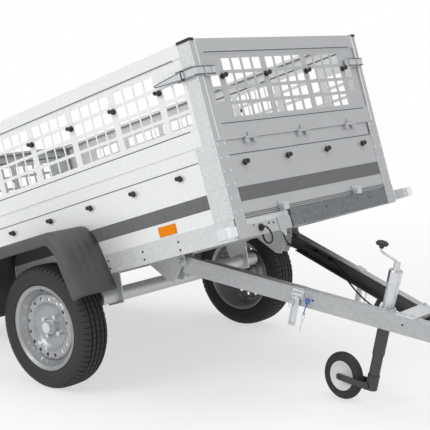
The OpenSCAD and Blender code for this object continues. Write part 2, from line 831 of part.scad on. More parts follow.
// Channel beam with its open side inward, and the eye that turns on the hinge pin
module beam() {
    lowered() difference() {
        union() {
            translate([-beam_x, 0, bar_rise - beam_h]) rotate([0, 0, beam_angle]) rotate([90, 0, 0])
                linear_extrude(beam_len) difference() {
                    square([beam_flange, beam_h]);
                    translate([beam_t, beam_t]) square([beam_flange, beam_h - 2*beam_t]);
                }
            translate([-(eye_x0 + eye_x1)/2, 0, 0]) bar_x(eye_r, eye_x1 - eye_x0);
        }
        translate([-(eye_x0 + eye_x1)/2, 0, 0]) bar_x(pin_hole, 200);
        // notch in the flanges beside the bracket, and the mitre where the beams meet
        translate([-eye_x0, -62, bar_rise - beam_h - 1]) cube([beam_flange, 100, beam_h + 2]);
        translate([-fit/2, -bar_l - 60, bar_rise - beam_h - 1]) cube([60, 120, beam_h + 2]);
    }
}

module beam_left() { color("silver") beam(); }
module beam_right() { color("silver") mirror([1, 0, 0]) beam(); }

// Distance from the middle to the inner edge of a beam flange at q ahead of the pivot
function inner_edge(q) = beam_x - beam_slope*q - beam_flange/cos(beam_angle);
function outer_edge(q) = beam_x - beam_slope*q;

module cable_run() {
    color("#202020") lowered() tube(curve(cable_run_pts, 2), cable_r);
}

// Clips on the web of the right beam, and the parking socket for the plug
module beam_clips() {
    from = cable_run_pts[7];
    to = cable_run_pts[9];
    color("#202020") lowered() {
        for (q = beam_clip_q) translate(from + (q + from[1])/(from[1] - to[1])*(to - from))
            rotate([0, 0, 90 + atan2(to[0] - from[0], from[1] - to[1])]) difference() {
                union() {
                    bar_x(7, 12);
                    translate([-6, -11.7, -5]) cube([12, 11.7, 10]);
                }
                bar_x(cable_r + 0.6, 14);
            }
        translate([plug_x, -plug_q - 44, plug_z]) rotate([90, 0, 0]) difference() {
            union() {
                cylinder(r = plug_r + 3, h = 26);
                translate([30.5 - plug_x, 6, 16]) cube([plug_x - 30.5 - plug_r, 8, 10]);
            }
            translate([0, 0, -1]) cylinder(r = plug_r + fit, h = 20);
        }
    }
}

// Plug with a ribbed grip, parked in its socket
module cable_plug() {
    color("#202020") lowered() translate([plug_x, -plug_q, plug_z]) rotate([90, 0, 0]) rotate_extrude()
        polygon([[0, 0], [6, 0], [8, 12], [14, 16], [15, 24], [17.5, 26], [17.5, 30], [16, 32], [16, 38],
            [plug_r, 40], [plug_r, 62], [0, 62]]);
}

module cross_plate() {
    q0 = jockey_q + 60;
    q1 = q0 + 70;
    color("silver") lowered() translate([0, 0, bar_rise])
        linear_extrude(4) polygon([[-outer_edge(q0), -q0], [outer_edge(q0), -q0],
            [outer_edge(q1), -q1], [-outer_edge(q1), -q1]]);
    // turned-down edges between the beams
    color("silver") lowered() for (q = [q0, q1 - 3]) translate([0, -q - 1.5, bar_rise - 6])
        cube([2*inner_edge(q + 3) - 2, 3, 12.4], center = true);
}

module coupling() {
    q0 = bar_l - 60;
    color("silver") lowered() difference() {
        union() {
            hull() {
                translate([-38, -q0 - 110, bar_rise]) cube([76, 110, 26]);
                translate([0, -ball_q + 80, bar_rise + 12]) cylinder(r = 25, h = 20, $fn = hull_fn);
            }
            hull() {
                translate([0, -ball_q + 92, bar_rise + 13]) cylinder(r = 23, h = 18, $fn = hull_fn);
                translate([0, -ball_q + 8, 8]) cylinder(r = 30, h = coupler_top - 16, $fn = hull_fn);
            }
            translate([0, -ball_q, 0]) rotate_extrude() polygon([[0, -6], [36, -6], [coupler_r, -2],
                [coupler_r, coupler_lip], [33, 30], [27, 43], [20, coupler_top], [0, coupler_top]]);
        }
        translate([0, -ball_q, 0]) sphere(r = ball_r + 0.5);
        translate([0, -ball_q, -30]) cylinder(r = ball_r + 0.5, h = 30);
    }
}

// Release lever of the coupling
module coupling_handle() {
    color("dimgray") lowered() translate([0, -ball_q, coupler_top + fit]) {
        translate([-9, -14, 0]) cube([18, 34, 12]);
        hull() {
            translate([0, 14, 3]) rotate([0, 90, 0]) cylinder(r = 3, h = 18, center = true, $fn = hull_fn);
            translate([0, 70, 14]) rotate([0, 90, 0]) cylinder(r = 8, h = 26, center = true, $fn = hull_fn);
        }
        hull() {
            translate([0, 70, 14]) rotate([0, 90, 0]) cylinder(r = 8, h = 26, center = true, $fn = hull_fn);
            translate([0, 150, 18]) rotate([0, 90, 0]) cylinder(r = 6, h = 30, center = true, $fn = hull_fn);
        }
    }
}

module drawbar_latches() {
    q = pivot_y + 12;
    color("silver") lowered() both_sides() translate([-outer_edge(q), -q, bar_rise])
        rotate([0, 0, beam_angle]) {
            translate([-6, -24, -40]) cube([6, 48, 38]);
            translate([-17, -12, -152]) difference() {
                cube([9, 28, 120]);
                translate([-1, 3, 8]) cube([7, 22, 104]);
            }
            translate([-15, -6, -42]) cube([10, 16, 24]);
            translate([-12, 2, -24]) rotate([0, 0, 90]) bar_x(6, 42);
        }
}

module jockey_clamp() {
    color("silver") lowered() {
        difference() {
            hull() {
                translate([jockey_x, -jockey_q, bar_rise - 62]) cylinder(r = jockey_r + 7, h = 60, $fn = hull_fn);
                translate([-inner_edge(jockey_q) - 2, -jockey_q - 25, bar_rise - 62]) cube([8, 50, 60]);
            }
            translate([jockey_x, -jockey_q, bar_rise - 70]) cylinder(r = jockey_r + fit, h = 80);
            linear_extrude(400, center = true) polygon([[-outer_edge(0) - 200, 0],
                [-inner_edge(0) + fit, 0], [-inner_edge(1000) + fit, -1000], [-outer_edge(1000) - 200, -1000]]);
        }
    }
}

// Screw of the clamp, with its cross grip
module clamp_handle() {
    color("#202020") lowered() translate([jockey_x, -jockey_q, bar_rise - 32]) rotate([0, 0, -14]) {
        translate([-6, jockey_r + 7.4, 0]) rotate([-90, 0, 0]) cylinder(r = 6, h = 34);
        translate([-6, jockey_r + 36, 0]) rotate([0, 26, 0]) cube([14, 14, 76], center = true);
    }
}

module jockey_sleeve() {
    color("silver") lowered() translate([jockey_x, -jockey_q, 0]) difference() {
        union() {
            translate([0, 0, sleeve_bottom]) cylinder(r = jockey_r, h = leg_top - sleeve_bottom);
            translate([0, 0, leg_top - 52]) cylinder(r = jockey_r + 3, h = 50);
        }
        translate([0, 0, sleeve_bottom - 1]) cylinder(r = jockey_r - jockey_t, h = leg_top - sleeve_bottom - 9);
    }
}

module jockey_crank() {
    color("silver") lowered() translate([jockey_x, -jockey_q, leg_top]) {
        cylinder(r = 13, h = 30);
        tube(curve([[0, 0, 20], [-1, 4, 31], [-6, 18, 39], [-14, 46, 48], [-18, 62, 54], [-20, 69, 64],
            [-20, 69, 80]], 3), 5, 12);
        translate([-20, 69, 68]) rotate_extrude() polygon([[0, 0], [8, 0], [10, 9], [22, 13], [25, 19],
            [20, 26], [8, 30], [0, 30.5]]);
    }
}

module jockey_leg() {
    color("dimgray") lowered() translate([jockey_x, -jockey_q, 0])
        translate([0, 0, leg_bottom + 62]) cylinder(r = inner_r, h = bar_rise - 62 - leg_bottom - 62);
}

module at_caster() {
    lowered() translate([jockey_x, -jockey_q, 0]) rotate([0, 0, swivel]) children();
}

module jockey_fork() {
    color("dimgray") at_caster() {
        translate([0, 0, leg_bottom]) cylinder(r = jockey_r, h = 61.7);
        for (s = [-1, 1]) hull() {
            translate([s*fork_x, 8, leg_bottom + 14]) rotate([0, 90, 0])
                cylinder(r = 13, h = fork_t, center = true, $fn = hull_fn);
            translate([s*fork_x, trail, caster_level]) rotate([0, 90, 0])
                cylinder(r = 13, h = fork_t, center = true, $fn = hull_fn);
        }
        translate([0, 8, leg_bottom + 14]) cube([2*fork_x + fork_t, 16, 26], center = true);
        translate([0, trail, caster_level]) bar_x(6, 2*fork_x + 16);
    }
}

module at_caster_wheel() {
    at_caster() translate([0, trail, caster_level]) rotate([0, 90, 0]) children();
}

module jockey_rim() {
    color("silver") at_caster_wheel() rotate_extrude() polygon([[6 + fit, -22], [14, -22], [14, -6],
        [48, -6], [56, -15], [60, -15], [60, 15], [56, 15], [48, 6], [14, 6], [14, 22], [6 + fit, 22]]);
}

module jockey_tyre() {
    c = caster_crown;
    color("#2b2b2b") at_caster_wheel() rotate_extrude() polygon(concat(
        [[60 + fit, -15], [64, -c + 3], [caster_r - c, -c]],
        [for (a = [-75 : 15 : 75]) [caster_r - c + c*cos(a), c*sin(a)]],
        [[caster_r - c, c], [64, c - 3], [60 + fit, 15]]));
}

floor();
side_rails();
front_rail();
rear_rail();
cross_members();
side_wall_left();
side_wall_right();
front_wall();
lower_posts();
upper_posts();
post_caps();
side_mesh_left();
side_mesh_right();
colour_bands();
fender_left();
fender_right();
marker_lamps();
side_reflectors();
tail_lamps();
corner_latches();
drawbar_catches();
cover_knobs();
hinge_brackets();
hinge_pins();
cable_clips();
cable_loop();
axle_tube();
axle_brackets();
swing_arms();
front_mesh();
front_mesh_knobs();
tailgate();
tailgate_knobs();
rear_mesh();
rear_mesh_knobs();
rim_left();
tyre_left();
hub_left();
rim_right();
tyre_right();
hub_right();
beam_left();
beam_right();
cross_plate();
coupling();
coupling_handle();
drawbar_latches();
jockey_clamp();
clamp_handle();
jockey_sleeve();
jockey_crank();
beam_clips();
cable_run();
cable_plug();
jockey_leg();
jockey_fork();
jockey_rim();
jockey_tyre();
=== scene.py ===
"""Looks of a tipping utility trailer with mesh sides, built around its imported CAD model."""

import json
import math

import bmesh
import bpy
from mathutils import Matrix, Vector

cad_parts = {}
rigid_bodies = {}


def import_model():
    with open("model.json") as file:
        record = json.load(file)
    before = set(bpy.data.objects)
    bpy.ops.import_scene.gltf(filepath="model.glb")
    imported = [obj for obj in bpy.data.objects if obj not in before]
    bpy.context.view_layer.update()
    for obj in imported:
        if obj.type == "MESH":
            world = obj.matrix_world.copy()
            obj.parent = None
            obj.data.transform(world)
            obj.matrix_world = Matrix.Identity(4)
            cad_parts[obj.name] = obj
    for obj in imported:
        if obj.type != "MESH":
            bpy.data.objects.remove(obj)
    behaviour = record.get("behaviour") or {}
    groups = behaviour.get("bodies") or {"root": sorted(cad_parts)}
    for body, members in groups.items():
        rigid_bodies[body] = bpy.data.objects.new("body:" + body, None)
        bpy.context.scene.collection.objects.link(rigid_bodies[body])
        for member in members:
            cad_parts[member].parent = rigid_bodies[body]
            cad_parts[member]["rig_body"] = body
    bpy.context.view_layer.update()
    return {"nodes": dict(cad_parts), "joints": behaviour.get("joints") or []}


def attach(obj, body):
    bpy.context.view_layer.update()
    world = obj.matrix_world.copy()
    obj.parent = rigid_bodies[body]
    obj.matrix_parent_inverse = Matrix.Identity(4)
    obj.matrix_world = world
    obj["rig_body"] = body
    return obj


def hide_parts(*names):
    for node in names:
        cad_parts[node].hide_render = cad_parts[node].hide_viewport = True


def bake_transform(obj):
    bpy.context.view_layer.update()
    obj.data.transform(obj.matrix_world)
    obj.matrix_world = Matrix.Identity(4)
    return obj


bl_info = {
    "name": "Utility trailer",
    "version": (1, 0, 0),
    "blender": (4, 5, 0),
    "location": "View3D > Sidebar > Trailer",
    "description": "Dresses a tipping utility trailer in its finishes, tyres, fasteners and lamps",
    "category": "Object",
}

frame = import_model()
JOINTS = {joint["name"]: Vector(joint["pos_m"]) for joint in frame["joints"] if "pos_m" in joint}

# Lengths are written in millimetres of the level box, the level drawbar or a wheel.
MM = 0.001
TIP = math.radians(18)
NOSE = math.radians(11.4)
BOX_L = 1950
BOX_W = 1090
WHEEL_Y = 1000
WHEEL_H = -150
HALF_TRACK = 636
RAIL_H = 78
SPLIT_H = 364
TOP_H = 748
POST_T = 2
STEP = 5
BEAM_X = 369
BAR_RISE = 19
BEAM_H = 70
BEAM_ANGLE = math.radians(17.5)
LEG_TOP = 169


def placed(origin, angle):
    return Matrix.Translation(origin) @ Matrix.Rotation(angle, 4, "X") @ Matrix.Scale(MM, 4)


AXIS = Vector((0, JOINTS["wheel_left_spin"].y, JOINTS["wheel_left_spin"].z))
BOX = placed(AXIS, -TIP) @ Matrix.Translation((0, -WHEEL_Y, -WHEEL_H))
BAR = placed(JOINTS["drawbar_fold"], NOSE)
REAR = BOX @ Matrix.Translation((0, BOX_L, 0)) @ Matrix.Rotation(math.pi, 4, "Z")


def beam(s):
    """Beam of the drawbar: x inward from its web, y back along it, z up from its lower flange."""
    return (BAR @ Matrix.Translation((s * BEAM_X, 0, BAR_RISE - BEAM_H))
            @ Matrix.Rotation(-s * BEAM_ANGLE, 4, "Z") @ Matrix.Diagonal((-s, 1, 1, 1)))


def corner(s, end):
    """Corner of the box: x inward along its side from the corner, y out from the side, z up."""
    return BOX @ Matrix(((0, s, 0, s * BOX_W / 2), (end, 0, 0, 0 if end > 0 else BOX_L),
                         (0, 0, 1, 0), (0, 0, 0, 1)))


def side(s):
    """Side of the box: x runs along it from its middle, y inward from its face."""
    return BOX @ Matrix.Translation((s * BOX_W / 2, BOX_L / 2, 0)) @ Matrix.Rotation(s * math.pi / 2, 4, "Z")


def wheel(s):
    """Wheel with z along its axis, away from the box."""
    return BOX @ Matrix.Translation((s * HALF_TRACK, WHEEL_Y, WHEEL_H)) @ Matrix.Rotation(s * math.pi / 2, 4, "Y")


def linear(code):
    """sRGB hex colour as linear RGB; a linear colour stays as it is."""
    if not isinstance(code, str):
        return tuple(code)
    parts = [int(code[i:i + 2], 16) / 255 for i in (1, 3, 5)]
    return tuple(c / 12.92 if c <= 0.04045 else ((c + 0.055) / 1.055) ** 2.4 for c in parts)


# Materials


def add(tree, kind, settings=None, **links):
    """Adds a node. Settings are its own properties and socket values, links are sockets to join to."""
    node = tree.nodes.new(kind)
    for key, value in (settings or {}).items():
        if hasattr(node, key) and key not in node.inputs:
            setattr(node, key, value)
        else:
            node.inputs[key].default_value = value
    for key, source in links.items():
        socket = node.inputs[int(key[1:])] if key[0] == "_" else node.inputs[key.replace("_", " ")]
        tree.links.new(source, socket)
    return node


def spread(tree, source, low, high):
    """The middle of a pattern's range spread over low to high."""
    return add(tree, "ShaderNodeMapRange", {"From Min": 0.25, "From Max": 0.75, "To Min": low, "To Max": high},
               Value=source).outputs[0]


def finish(name, light, dark, metallic, rough, pattern, bumps=(), **shader):
    """A procedural finish.

    light and dark are the two colours that the pattern moves between, rough the two roughnesses.
    pattern is (texture, size in mm), and bumps are (texture, size in mm, height in mm).
    """
    material = bpy.data.materials.new(name)
    material.use_nodes = True
    tree = material.node_tree
    tree.nodes.clear()
    place = add(tree, "ShaderNodeTexCoord").outputs["Object"]

    def texture(kind, size):
        scale = 1 / (size * MM)
        if kind == "cells":
            cells = add(tree, "ShaderNodeTexVoronoi", {"Scale": scale}, Vector=place)
            return add(tree, "ShaderNodeSeparateColor", None, Color=cells.outputs["Color"]).outputs[0]
        if kind == "dimples":
            return add(tree, "ShaderNodeTexVoronoi", {"Scale": scale}, Vector=place).outputs["Distance"]
        return add(tree, "ShaderNodeTexNoise", {"Scale": scale, "Detail": 4.0}, Vector=place).outputs[0]

    shade = texture(*pattern)
    mix = add(tree, "ShaderNodeMix", {"data_type": "RGBA"}, Factor=spread(tree, shade, 0, 1))
    mix.inputs[6].default_value = (*linear(dark), 1)
    mix.inputs[7].default_value = (*linear(light), 1)
    surface = add(tree, "ShaderNodeBsdfPrincipled", {"Metallic": metallic, **shader})
    tree.links.new(mix.outputs[2], surface.inputs["Base Color"])
    tree.links.new(spread(tree, shade, *rough), surface.inputs["Roughness"])
    normal = None
    for kind, size, height in bumps:
        bump = add(tree, "ShaderNodeBump", {"Strength": 1.0, "Distance": height * MM},
                   Height=texture(kind, size))
        if normal:
            tree.links.new(normal, bump.inputs["Normal"])
        normal = bump.outputs[0]
    if normal:
        tree.links.new(normal, surface.inputs["Normal"])
    out = add(tree, "ShaderNodeOutputMaterial")
    tree.links.new(surface.outputs[0], out.inputs[0])
    return material


def make_finishes():
    """Every finish of the trailer, by the name of its slot or use."""
    c = bpy.context.scene.trailer_colours
    noise = "noise"
    return {
        # Hot-dip galvanised steel: pale grey, its crystals about 9 mm wide only just apart in tone
        "galvanised": finish("hot_dip_galvanised_steel", c.galvanised, "#ced0d1", 0.45, (0.4, 0.48),
                             ("cells", 9), [(noise, 60, 0.2)]),
        # The same coating on the beams, thicker and more even
        "beam": finish("hot_dip_galvanised_beam", "#b9bbbd", "#b1b3b5", 0.45, (0.4, 0.5),
                       ("cells", 12), [(noise, 60, 0.2)]),
        # Aluminium-zinc coated sheet: nearly white, with crystals of 4 mm and a little oil-canning
        "side_sheet": finish("aluzinc_sheet", c.sheet, "#e4e6e7", 0.35, (0.37, 0.42),
                             ("cells", 4), [(noise, 160, 0.9)]),
        # The same sheet on the front and the rear ends, painted darker with the shade that falls on them
        "front_sheet": finish("aluzinc_sheet_painted_shade", "#bfc1c3", "#b9bbbd", 0.45, (0.37, 0.42),
                              ("cells", 4), [(noise, 160, 0.9)]),
        # Film-faced birch plywood: dark phenolic film pressed with a fine wire mesh
        "plywood": finish("film_faced_plywood", "#4b423b", "#3c342f", 0.0, (0.5, 0.65),
                          (noise, 60), [("dimples", 4, 0.5)]),
        # Vinyl film on the sheet: even grey with a faint orange peel
        "band": finish("grey_vinyl_film", "#66686a", "#5c5e60", 0.0, (0.38, 0.46), (noise, 20), [(noise, 8, 0.05)]),
        # Blow-moulded polyethylene with a fine leather grain
        "fender": finish("moulded_polyethylene", c.fender, "#454647", 0.0, (0.46, 0.58),
                         (noise, 40), [("dimples", 1.6, 0.25)]),
        # Nylon with glass fibre: black with a slightly mottled gloss
        "black_plastic": finish("black_nylon", "#26272a", "#1d1e20", 0.0, (0.35, 0.5), (noise, 9), [(noise, 1.5, 0.04)]),
        # Clear lens over a white reflector, with small moulded dimples
        "lamp_white": finish("clear_lens", "#f2f3f4", "#dfe2e4", 0.0, (0.08, 0.2), ("dimples", 5),
                             [("dimples", 5, 0.6)], **{"Coat Weight": 0.6, "Coat Roughness": 0.05}),
        # Frosted housing of the side lamps, nearly white
        "lamp_body": finish("frosted_polycarbonate", "#dcdfe2", "#cfd3d7", 0.0, (0.15, 0.28), (noise, 14),
                            [(noise, 6, 0.1)], **{"Coat Weight": 0.5, "Coat Roughness": 0.08}),
        # Inside of the beams: the same zinc painted dark grey with the shade inside the channel
        "beam_inside_painted_shade": finish("galvanised_beam_painted_shade", "#5a5c5f", "#4c4e51", 0.2, (0.5, 0.62), (noise, 90)),
        # Orange prism reflector: cells of 3 mm, matt so that the sky does not whiten it
        "reflector": finish("orange_prism_reflector", c.reflector, "#e07e00", 0.0, (0.4, 0.5), ("cells", 3),
                            **{"Specular IOR Level": 0.12}),
        # Red signal lens
        "lamp_red": finish("red_lens", "#b3151c", "#8d0f15", 0.0, (0.1, 0.22), ("dimples", 4),
                           [("dimples", 4, 0.5)], **{"Coat Weight": 0.8, "Coat Roughness": 0.04}),
        # Bright zinc plating on small hardware, fine and even
        "zinc": finish("bright_zinc_plate", "#d6d9db", "#cdd0d3", 0.6, (0.26, 0.32), (noise, 25)),
        # Silver enamel on the wheel discs: metal flake too fine to see, so only a soft mottle
        "rim": finish("silver_wheel_enamel", c.rim, "#a0a2a4", 0.55, (0.34, 0.44), (noise, 5), [(noise, 2, 0.05)]),
        # Tyre rubber: dull charcoal with a dusty bloom
        "tyre": finish("tyre_rubber", c.tyre, "#262627", 0.0, (0.66, 0.8), (noise, 22), [(noise, 2.5, 0.12)]),
        # Cable jacket: soft black PVC
        "cable": finish("pvc_cable_jacket", "#1f2022", "#17181a", 0.0, (0.4, 0.52), (noise, 12), [(noise, 2, 0.05)]),
        # Phosphated steel, dark grey and dull
        "dark_steel": finish("phosphated_steel", "#55575a", "#46484b", 0.7, (0.42, 0.55), (noise, 12),
                             [(noise, 4, 0.1)]),
        # White powder coat on the jockey rim and the strips beside the upper posts
        "white_coat": finish("white_powder_coat", "#e4e5e6", "#d8dadb", 0.0, (0.3, 0.4), (noise, 8), [(noise, 3, 0.08)]),
        # Chrome collar
        "chrome": finish("chrome_plate", "#d8dadc", "#cfd1d4", 1.0, (0.08, 0.14), (noise, 12)),
        # Bare galvanised sheet in the shade under the wall: mid grey with a soft sheen
        "skirt": finish("galvanised_skirt", "#85888b", "#7c7f82", 0.7, (0.26, 0.34), ("cells", 9),
                        [(noise, 120, 0.8)]),
        # Painted shade in the pressed creases of the sheets: a thin even dark grey line
        "crease_painted_shade": finish("crease_line_painted_shade", "#56595c", "#4d5053", 0.0, (0.6, 0.7), (noise, 15)),
        # Blue moulded polypropylene of the pulls
        "blue": finish("blue_polypropylene", c.pull, "#2351a6", 0.0, (0.4, 0.5), (noise, 8), [(noise, 1.5, 0.05)]),
    }


FINISH = {}


# Shapes


class Shape:
    """Faces in millimetres of a local frame, each with the number of its finish."""

    def __init__(self):
        self.bm = bmesh.new()

    def grid(self, rows, finish_no=0, closed_rows=False, closed_columns=False):
        """Faces over rows of points."""
        bm = self.bm
        made = [[bm.verts.new(p) for p in row] for row in rows]
        n, m = len(made), len(made[0])
        for i in range(n if closed_rows else n - 1):
            for j in range(m if closed_columns else m - 1):
                a, b = made[i], made[(i + 1) % n]
                k = (j + 1) % m
                face = bm.faces.new((a[j], b[j], b[k], a[k]))
                face.material_index = finish_no
        return made

    def cap(self, verts, finish_no=0):
        self.bm.faces.new(verts).material_index = finish_no

    def lathe(self, profile, at=Matrix(), steps=32, finish_no=0):
        """A closed turned form round z, from (radius, height) points that start and end on the axis."""
        ends = [profile[0][1], profile[-1][1]]
        body = [p for p in profile if p[0] > 1e-6]
        rows = []
        for i in range(steps):
            a = 2 * math.pi * i / steps
            rows.append([at @ Vector((r * math.cos(a), r * math.sin(a), z)) for r, z in body])
        made = self.grid(rows, finish_no, closed_rows=True)
        for end, column in zip(ends, (0, -1)):
            ring = [row[column] for row in made]
            middle = self.bm.verts.new(at @ Vector((0, 0, end)))
            for i in range(steps):
                self.cap((ring[i], ring[(i + 1) % steps], middle), finish_no)

    def prism(self, outline, low, high, at=Matrix(), finish_no=0):
        """An outline in x and y raised from low to high."""
        rows = [[at @ Vector((x, y, z)) for x, y in outline] for z in (low, high)]
        made = self.grid(rows, finish_no, closed_columns=True)
        self.cap(made[0], finish_no)
        self.cap(made[1], finish_no)

    def block(self, low, high, at=Matrix(), finish_no=0):
        (x0, y0, z0), (x1, y1, z1) = low, high
        self.prism([(x0, y0), (x1, y0), (x1, y1), (x0, y1)], z0, z1, at, finish_no)

    def tube(self, path, radius, sides=12, finish_no=0):
        """A round bar along a path, with its ends closed."""
        points = [Vector(p) for p in path]
        last = len(points) - 1
        along = [(points[min(i + 1, last)] - points[max(i - 1, 0)]).normalized() for i in range(last + 1)]
        across = along[0].orthogonal().normalized()
        rows = []
        for point, t in zip(points, along):
            across = (across - t * across.dot(t)).normalized()
            other = t.cross(across)
            rows.append([point + radius * (math.cos(a) * across + math.sin(a) * other)
                         for a in (2 * math.pi * k / sides for k in range(sides))])
        made = self.grid(rows, finish_no, closed_columns=True)
        self.cap(made[0], finish_no)
        self.cap(made[-1], finish_no)

    def mesh(self, name, at, smooth=40):
        """The faces as a mesh in metres, with its normals outward."""
        bm = self.bm.copy()
        bmesh.ops.transform(bm, matrix=at, verts=bm.verts)
        bmesh.ops.remove_doubles(bm, verts=bm.verts, dist=0.00002)
        bmesh.ops.recalc_face_normals(bm, faces=bm.faces)
        mesh = bpy.data.meshes.new(name)
        bm.to_mesh(mesh)
        bm.free()
        mesh.shade_smooth()
        mesh.set_sharp_from_angle(angle=math.radians(smooth))
        return mesh


def curve(points, steps):
    """Smooth line through points, with steps between each pair."""
    p = [Vector(q) for q in points]
    last = len(p) - 1
    line = []
    for i in range(last):
        a, b, c, d = p[max(i - 1, 0)], p[i], p[i + 1], p[min(i + 2, last)]
        for k in range(steps):
            t = k / steps
            line.append(0.5 * (2 * b + (c - a) * t + (2 * a - 5 * b + 4 * c - d) * t * t
                               + (3 * b - a - 3 * c + d) * t ** 3))
    return line + [p[last]]


def rounded(outline, radius, steps=4):
    """A closed outline with its corners rounded."""
    n = len(outline)
    line = []
    for i, here in enumerate(outline):
        p = Vector(here)
        a, b = Vector(outline[i - 1]) - p, Vector(outline[(i + 1) % n]) - p
        r = min(radius, 0.45 * a.length, 0.45 * b.length)
        start, end = p + a.normalized() * r, p + b.normalized() * r
        for k in range(steps + 1):
            t = k / steps
            line.append((1 - t) ** 2 * start + 2 * t * (1 - t) * p + t * t * end)
    return line


def piece(name, mesh, body, finishes, stands_for=(), bevel=0):
    """An object of the trailer: on its body and finishes."""
    obj = bpy.data.objects.new(name, mesh)
    bpy.context.scene.collection.objects.link(obj)
    for i, key in enumerate(finishes):
        if i < len(mesh.materials):
            mesh.materials[i] = FINISH[key]
        else:
            mesh.materials.append(FINISH[key])
    if bevel:
        soften = obj.modifiers.new("soft_edges", "BEVEL")
        soften.width = bevel * MM
        soften.segments = 2
        soften.limit_method = "ANGLE"
        soften.angle_limit = math.radians(35)
        soften.harden_normals = True
    if body:
        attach(obj, body)
    if stands_for:
        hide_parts(*stands_for)
    return obj


def dressed(node, name, finishes, zones=(), at=BOX, bevel=0):
    """A merged copy of a CAD node, with soft edges and zones of other finishes.

    zones are (finish number, low corner, high corner) in the local frame. The faces are cut
    at their heights, and a face whose middle lies in one takes that finish.
    """
    source = frame["nodes"][node]
    bm = bmesh.new()
    bm.from_mesh(source.data)
    bmesh.ops.remove_doubles(bm, verts=bm.verts, dist=0.00001)
    bmesh.ops.dissolve_limit(bm, angle_limit=math.radians(1), verts=bm.verts, edges=bm.edges)
    back = at.inverted()
    up = (at.to_3x3() @ Vector((0, 0, 1))).normalized()
    for height in sorted({edge[2] for _, low, high in zones for edge in (low, high)}):
        bmesh.ops.bisect_plane(bm, geom=bm.verts[:] + bm.edges[:] + bm.faces[:],
                               plane_co=at @ Vector((0, 0, height)), plane_no=up, dist=0.00002)
    for face in bm.faces:
        face.material_index = 0
        middle = back @ face.calc_center_median()
        for number, low, high in zones:
            if all(a <= m <= b for a, m, b in zip(low, middle, high)):
                face.material_index = number
    mesh = bpy.data.meshes.new(name)
    bm.to_mesh(mesh)
    bm.free()
    mesh.shade_smooth()
    mesh.set_sharp_from_angle(angle=math.radians(35))
    body = source["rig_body"]
    return piece(name, mesh, body, finishes, [node], bevel)


# Geometry Nodes: one tree sets a shape at many places, the other turns it round an axis


def set_input(modifier, label, value):
    for item in modifier.node_group.interface.items_tree:
        if item.item_type == "SOCKET" and item.in_out == "INPUT" and item.name == label:
            modifier[item.identifier] = value
            return
    raise KeyError(label)


def start_tree(name, inputs):
    tree = bpy.data.node_groups.new(name, "GeometryNodeTree")
    tree.interface.new_socket("Geometry", in_out="OUTPUT", socket_type="NodeSocketGeometry")
    for label, kind in inputs:
        tree.interface.new_socket(label, in_out="INPUT", socket_type=kind)
    return tree, add(tree, "NodeGroupInput"), add(tree, "NodeGroupOutput")


def places_tree():
    """Copies of a shape on the points of a mesh, each turned so that its z follows the outward attribute."""
    tree, given, result = start_tree("fasteners_on_points", [
        ("Places", "NodeSocketGeometry"), ("Shape", "NodeSocketObject"),
        ("Finish", "NodeSocketMaterial")])
    outward = add(tree, "GeometryNodeInputNamedAttribute", {"data_type": "FLOAT_VECTOR", "Name": "outward"})
    along = add(tree, "GeometryNodeInputNamedAttribute", {"data_type": "FLOAT_VECTOR", "Name": "along"})
    turn = add(tree, "FunctionNodeAlignRotationToVector", {"axis": "Z"}, Vector=outward.outputs[0])
    turn = add(tree, "FunctionNodeAlignRotationToVector", {"axis": "X", "pivot_axis": "Z"},
               Rotation=turn.outputs[0], Vector=along.outputs[0])
    shape = add(tree, "GeometryNodeObjectInfo", None, Object=given.outputs["Shape"])
    copies = add(tree, "GeometryNodeInstanceOnPoints", None, Points=given.outputs["Places"],
                 Instance=shape.outputs["Geometry"], Rotation=turn.outputs[0])
    real = add(tree, "GeometryNodeRealizeInstances", None, Geometry=copies.outputs[0])
    done = add(tree, "GeometryNodeSetMaterial", None, Geometry=real.outputs[0], Material=given.outputs["Finish"])
    tree.links.new(done.outputs[0], result.inputs[0])
    return tree


def ring_tree():
    """A sector repeated round z and joined at its edges."""
    tree, given, result = start_tree("sector_round_axis", [
        ("Sector", "NodeSocketGeometry"), ("Count", "NodeSocketInt"), ("Weld", "NodeSocketFloat"),
        ("Finish", "NodeSocketMaterial")])
    points = add(tree, "GeometryNodePoints", None, Count=given.outputs["Count"])
    index = add(tree, "GeometryNodeInputIndex")
    share = add(tree, "ShaderNodeMath", {"operation": "DIVIDE"}, _0=index.outputs[0], _1=given.outputs["Count"])
    angle = add(tree, "ShaderNodeMath", {"operation": "MULTIPLY"}, _0=share.outputs[0])
    angle.inputs[1].default_value = 2 * math.pi
    turn = add(tree, "ShaderNodeCombineXYZ", None, Z=angle.outputs[0])
    copies = add(tree, "GeometryNodeInstanceOnPoints", None, Points=points.outputs[0],
                 Instance=given.outputs["Sector"], Rotation=turn.outputs[0])
    real = add(tree, "GeometryNodeRealizeInstances", None, Geometry=copies.outputs[0])
    weld = add(tree, "GeometryNodeMergeByDistance", None, Geometry=real.outputs[0], Distance=given.outputs["Weld"])
    done = add(tree, "GeometryNodeSetMaterial", None, Geometry=weld.outputs[0], Material=given.outputs["Finish"])
    tree.links.new(done.outputs[0], result.inputs[0])
    return tree


TREES = {}


def baked(obj, tree, values):
    """The mesh that a tree makes of an object, with the object and modifier removed."""
    modifier = obj.modifiers.new("repeat", "NODES")
    modifier.node_group = TREES[tree]
    for label, value in values.items():
        set_input(modifier, label, value)
    bpy.context.view_layer.update()
    mesh = bpy.data.meshes.new_from_object(obj.evaluated_get(bpy.context.evaluated_depsgraph_get()))
    obj.modifiers.remove(modifier)
    bpy.data.objects.remove(obj)
    return mesh


def loose(name, mesh):
    obj = bpy.data.objects.new(name, mesh)
    bpy.context.scene.collection.objects.link(obj)
    return obj


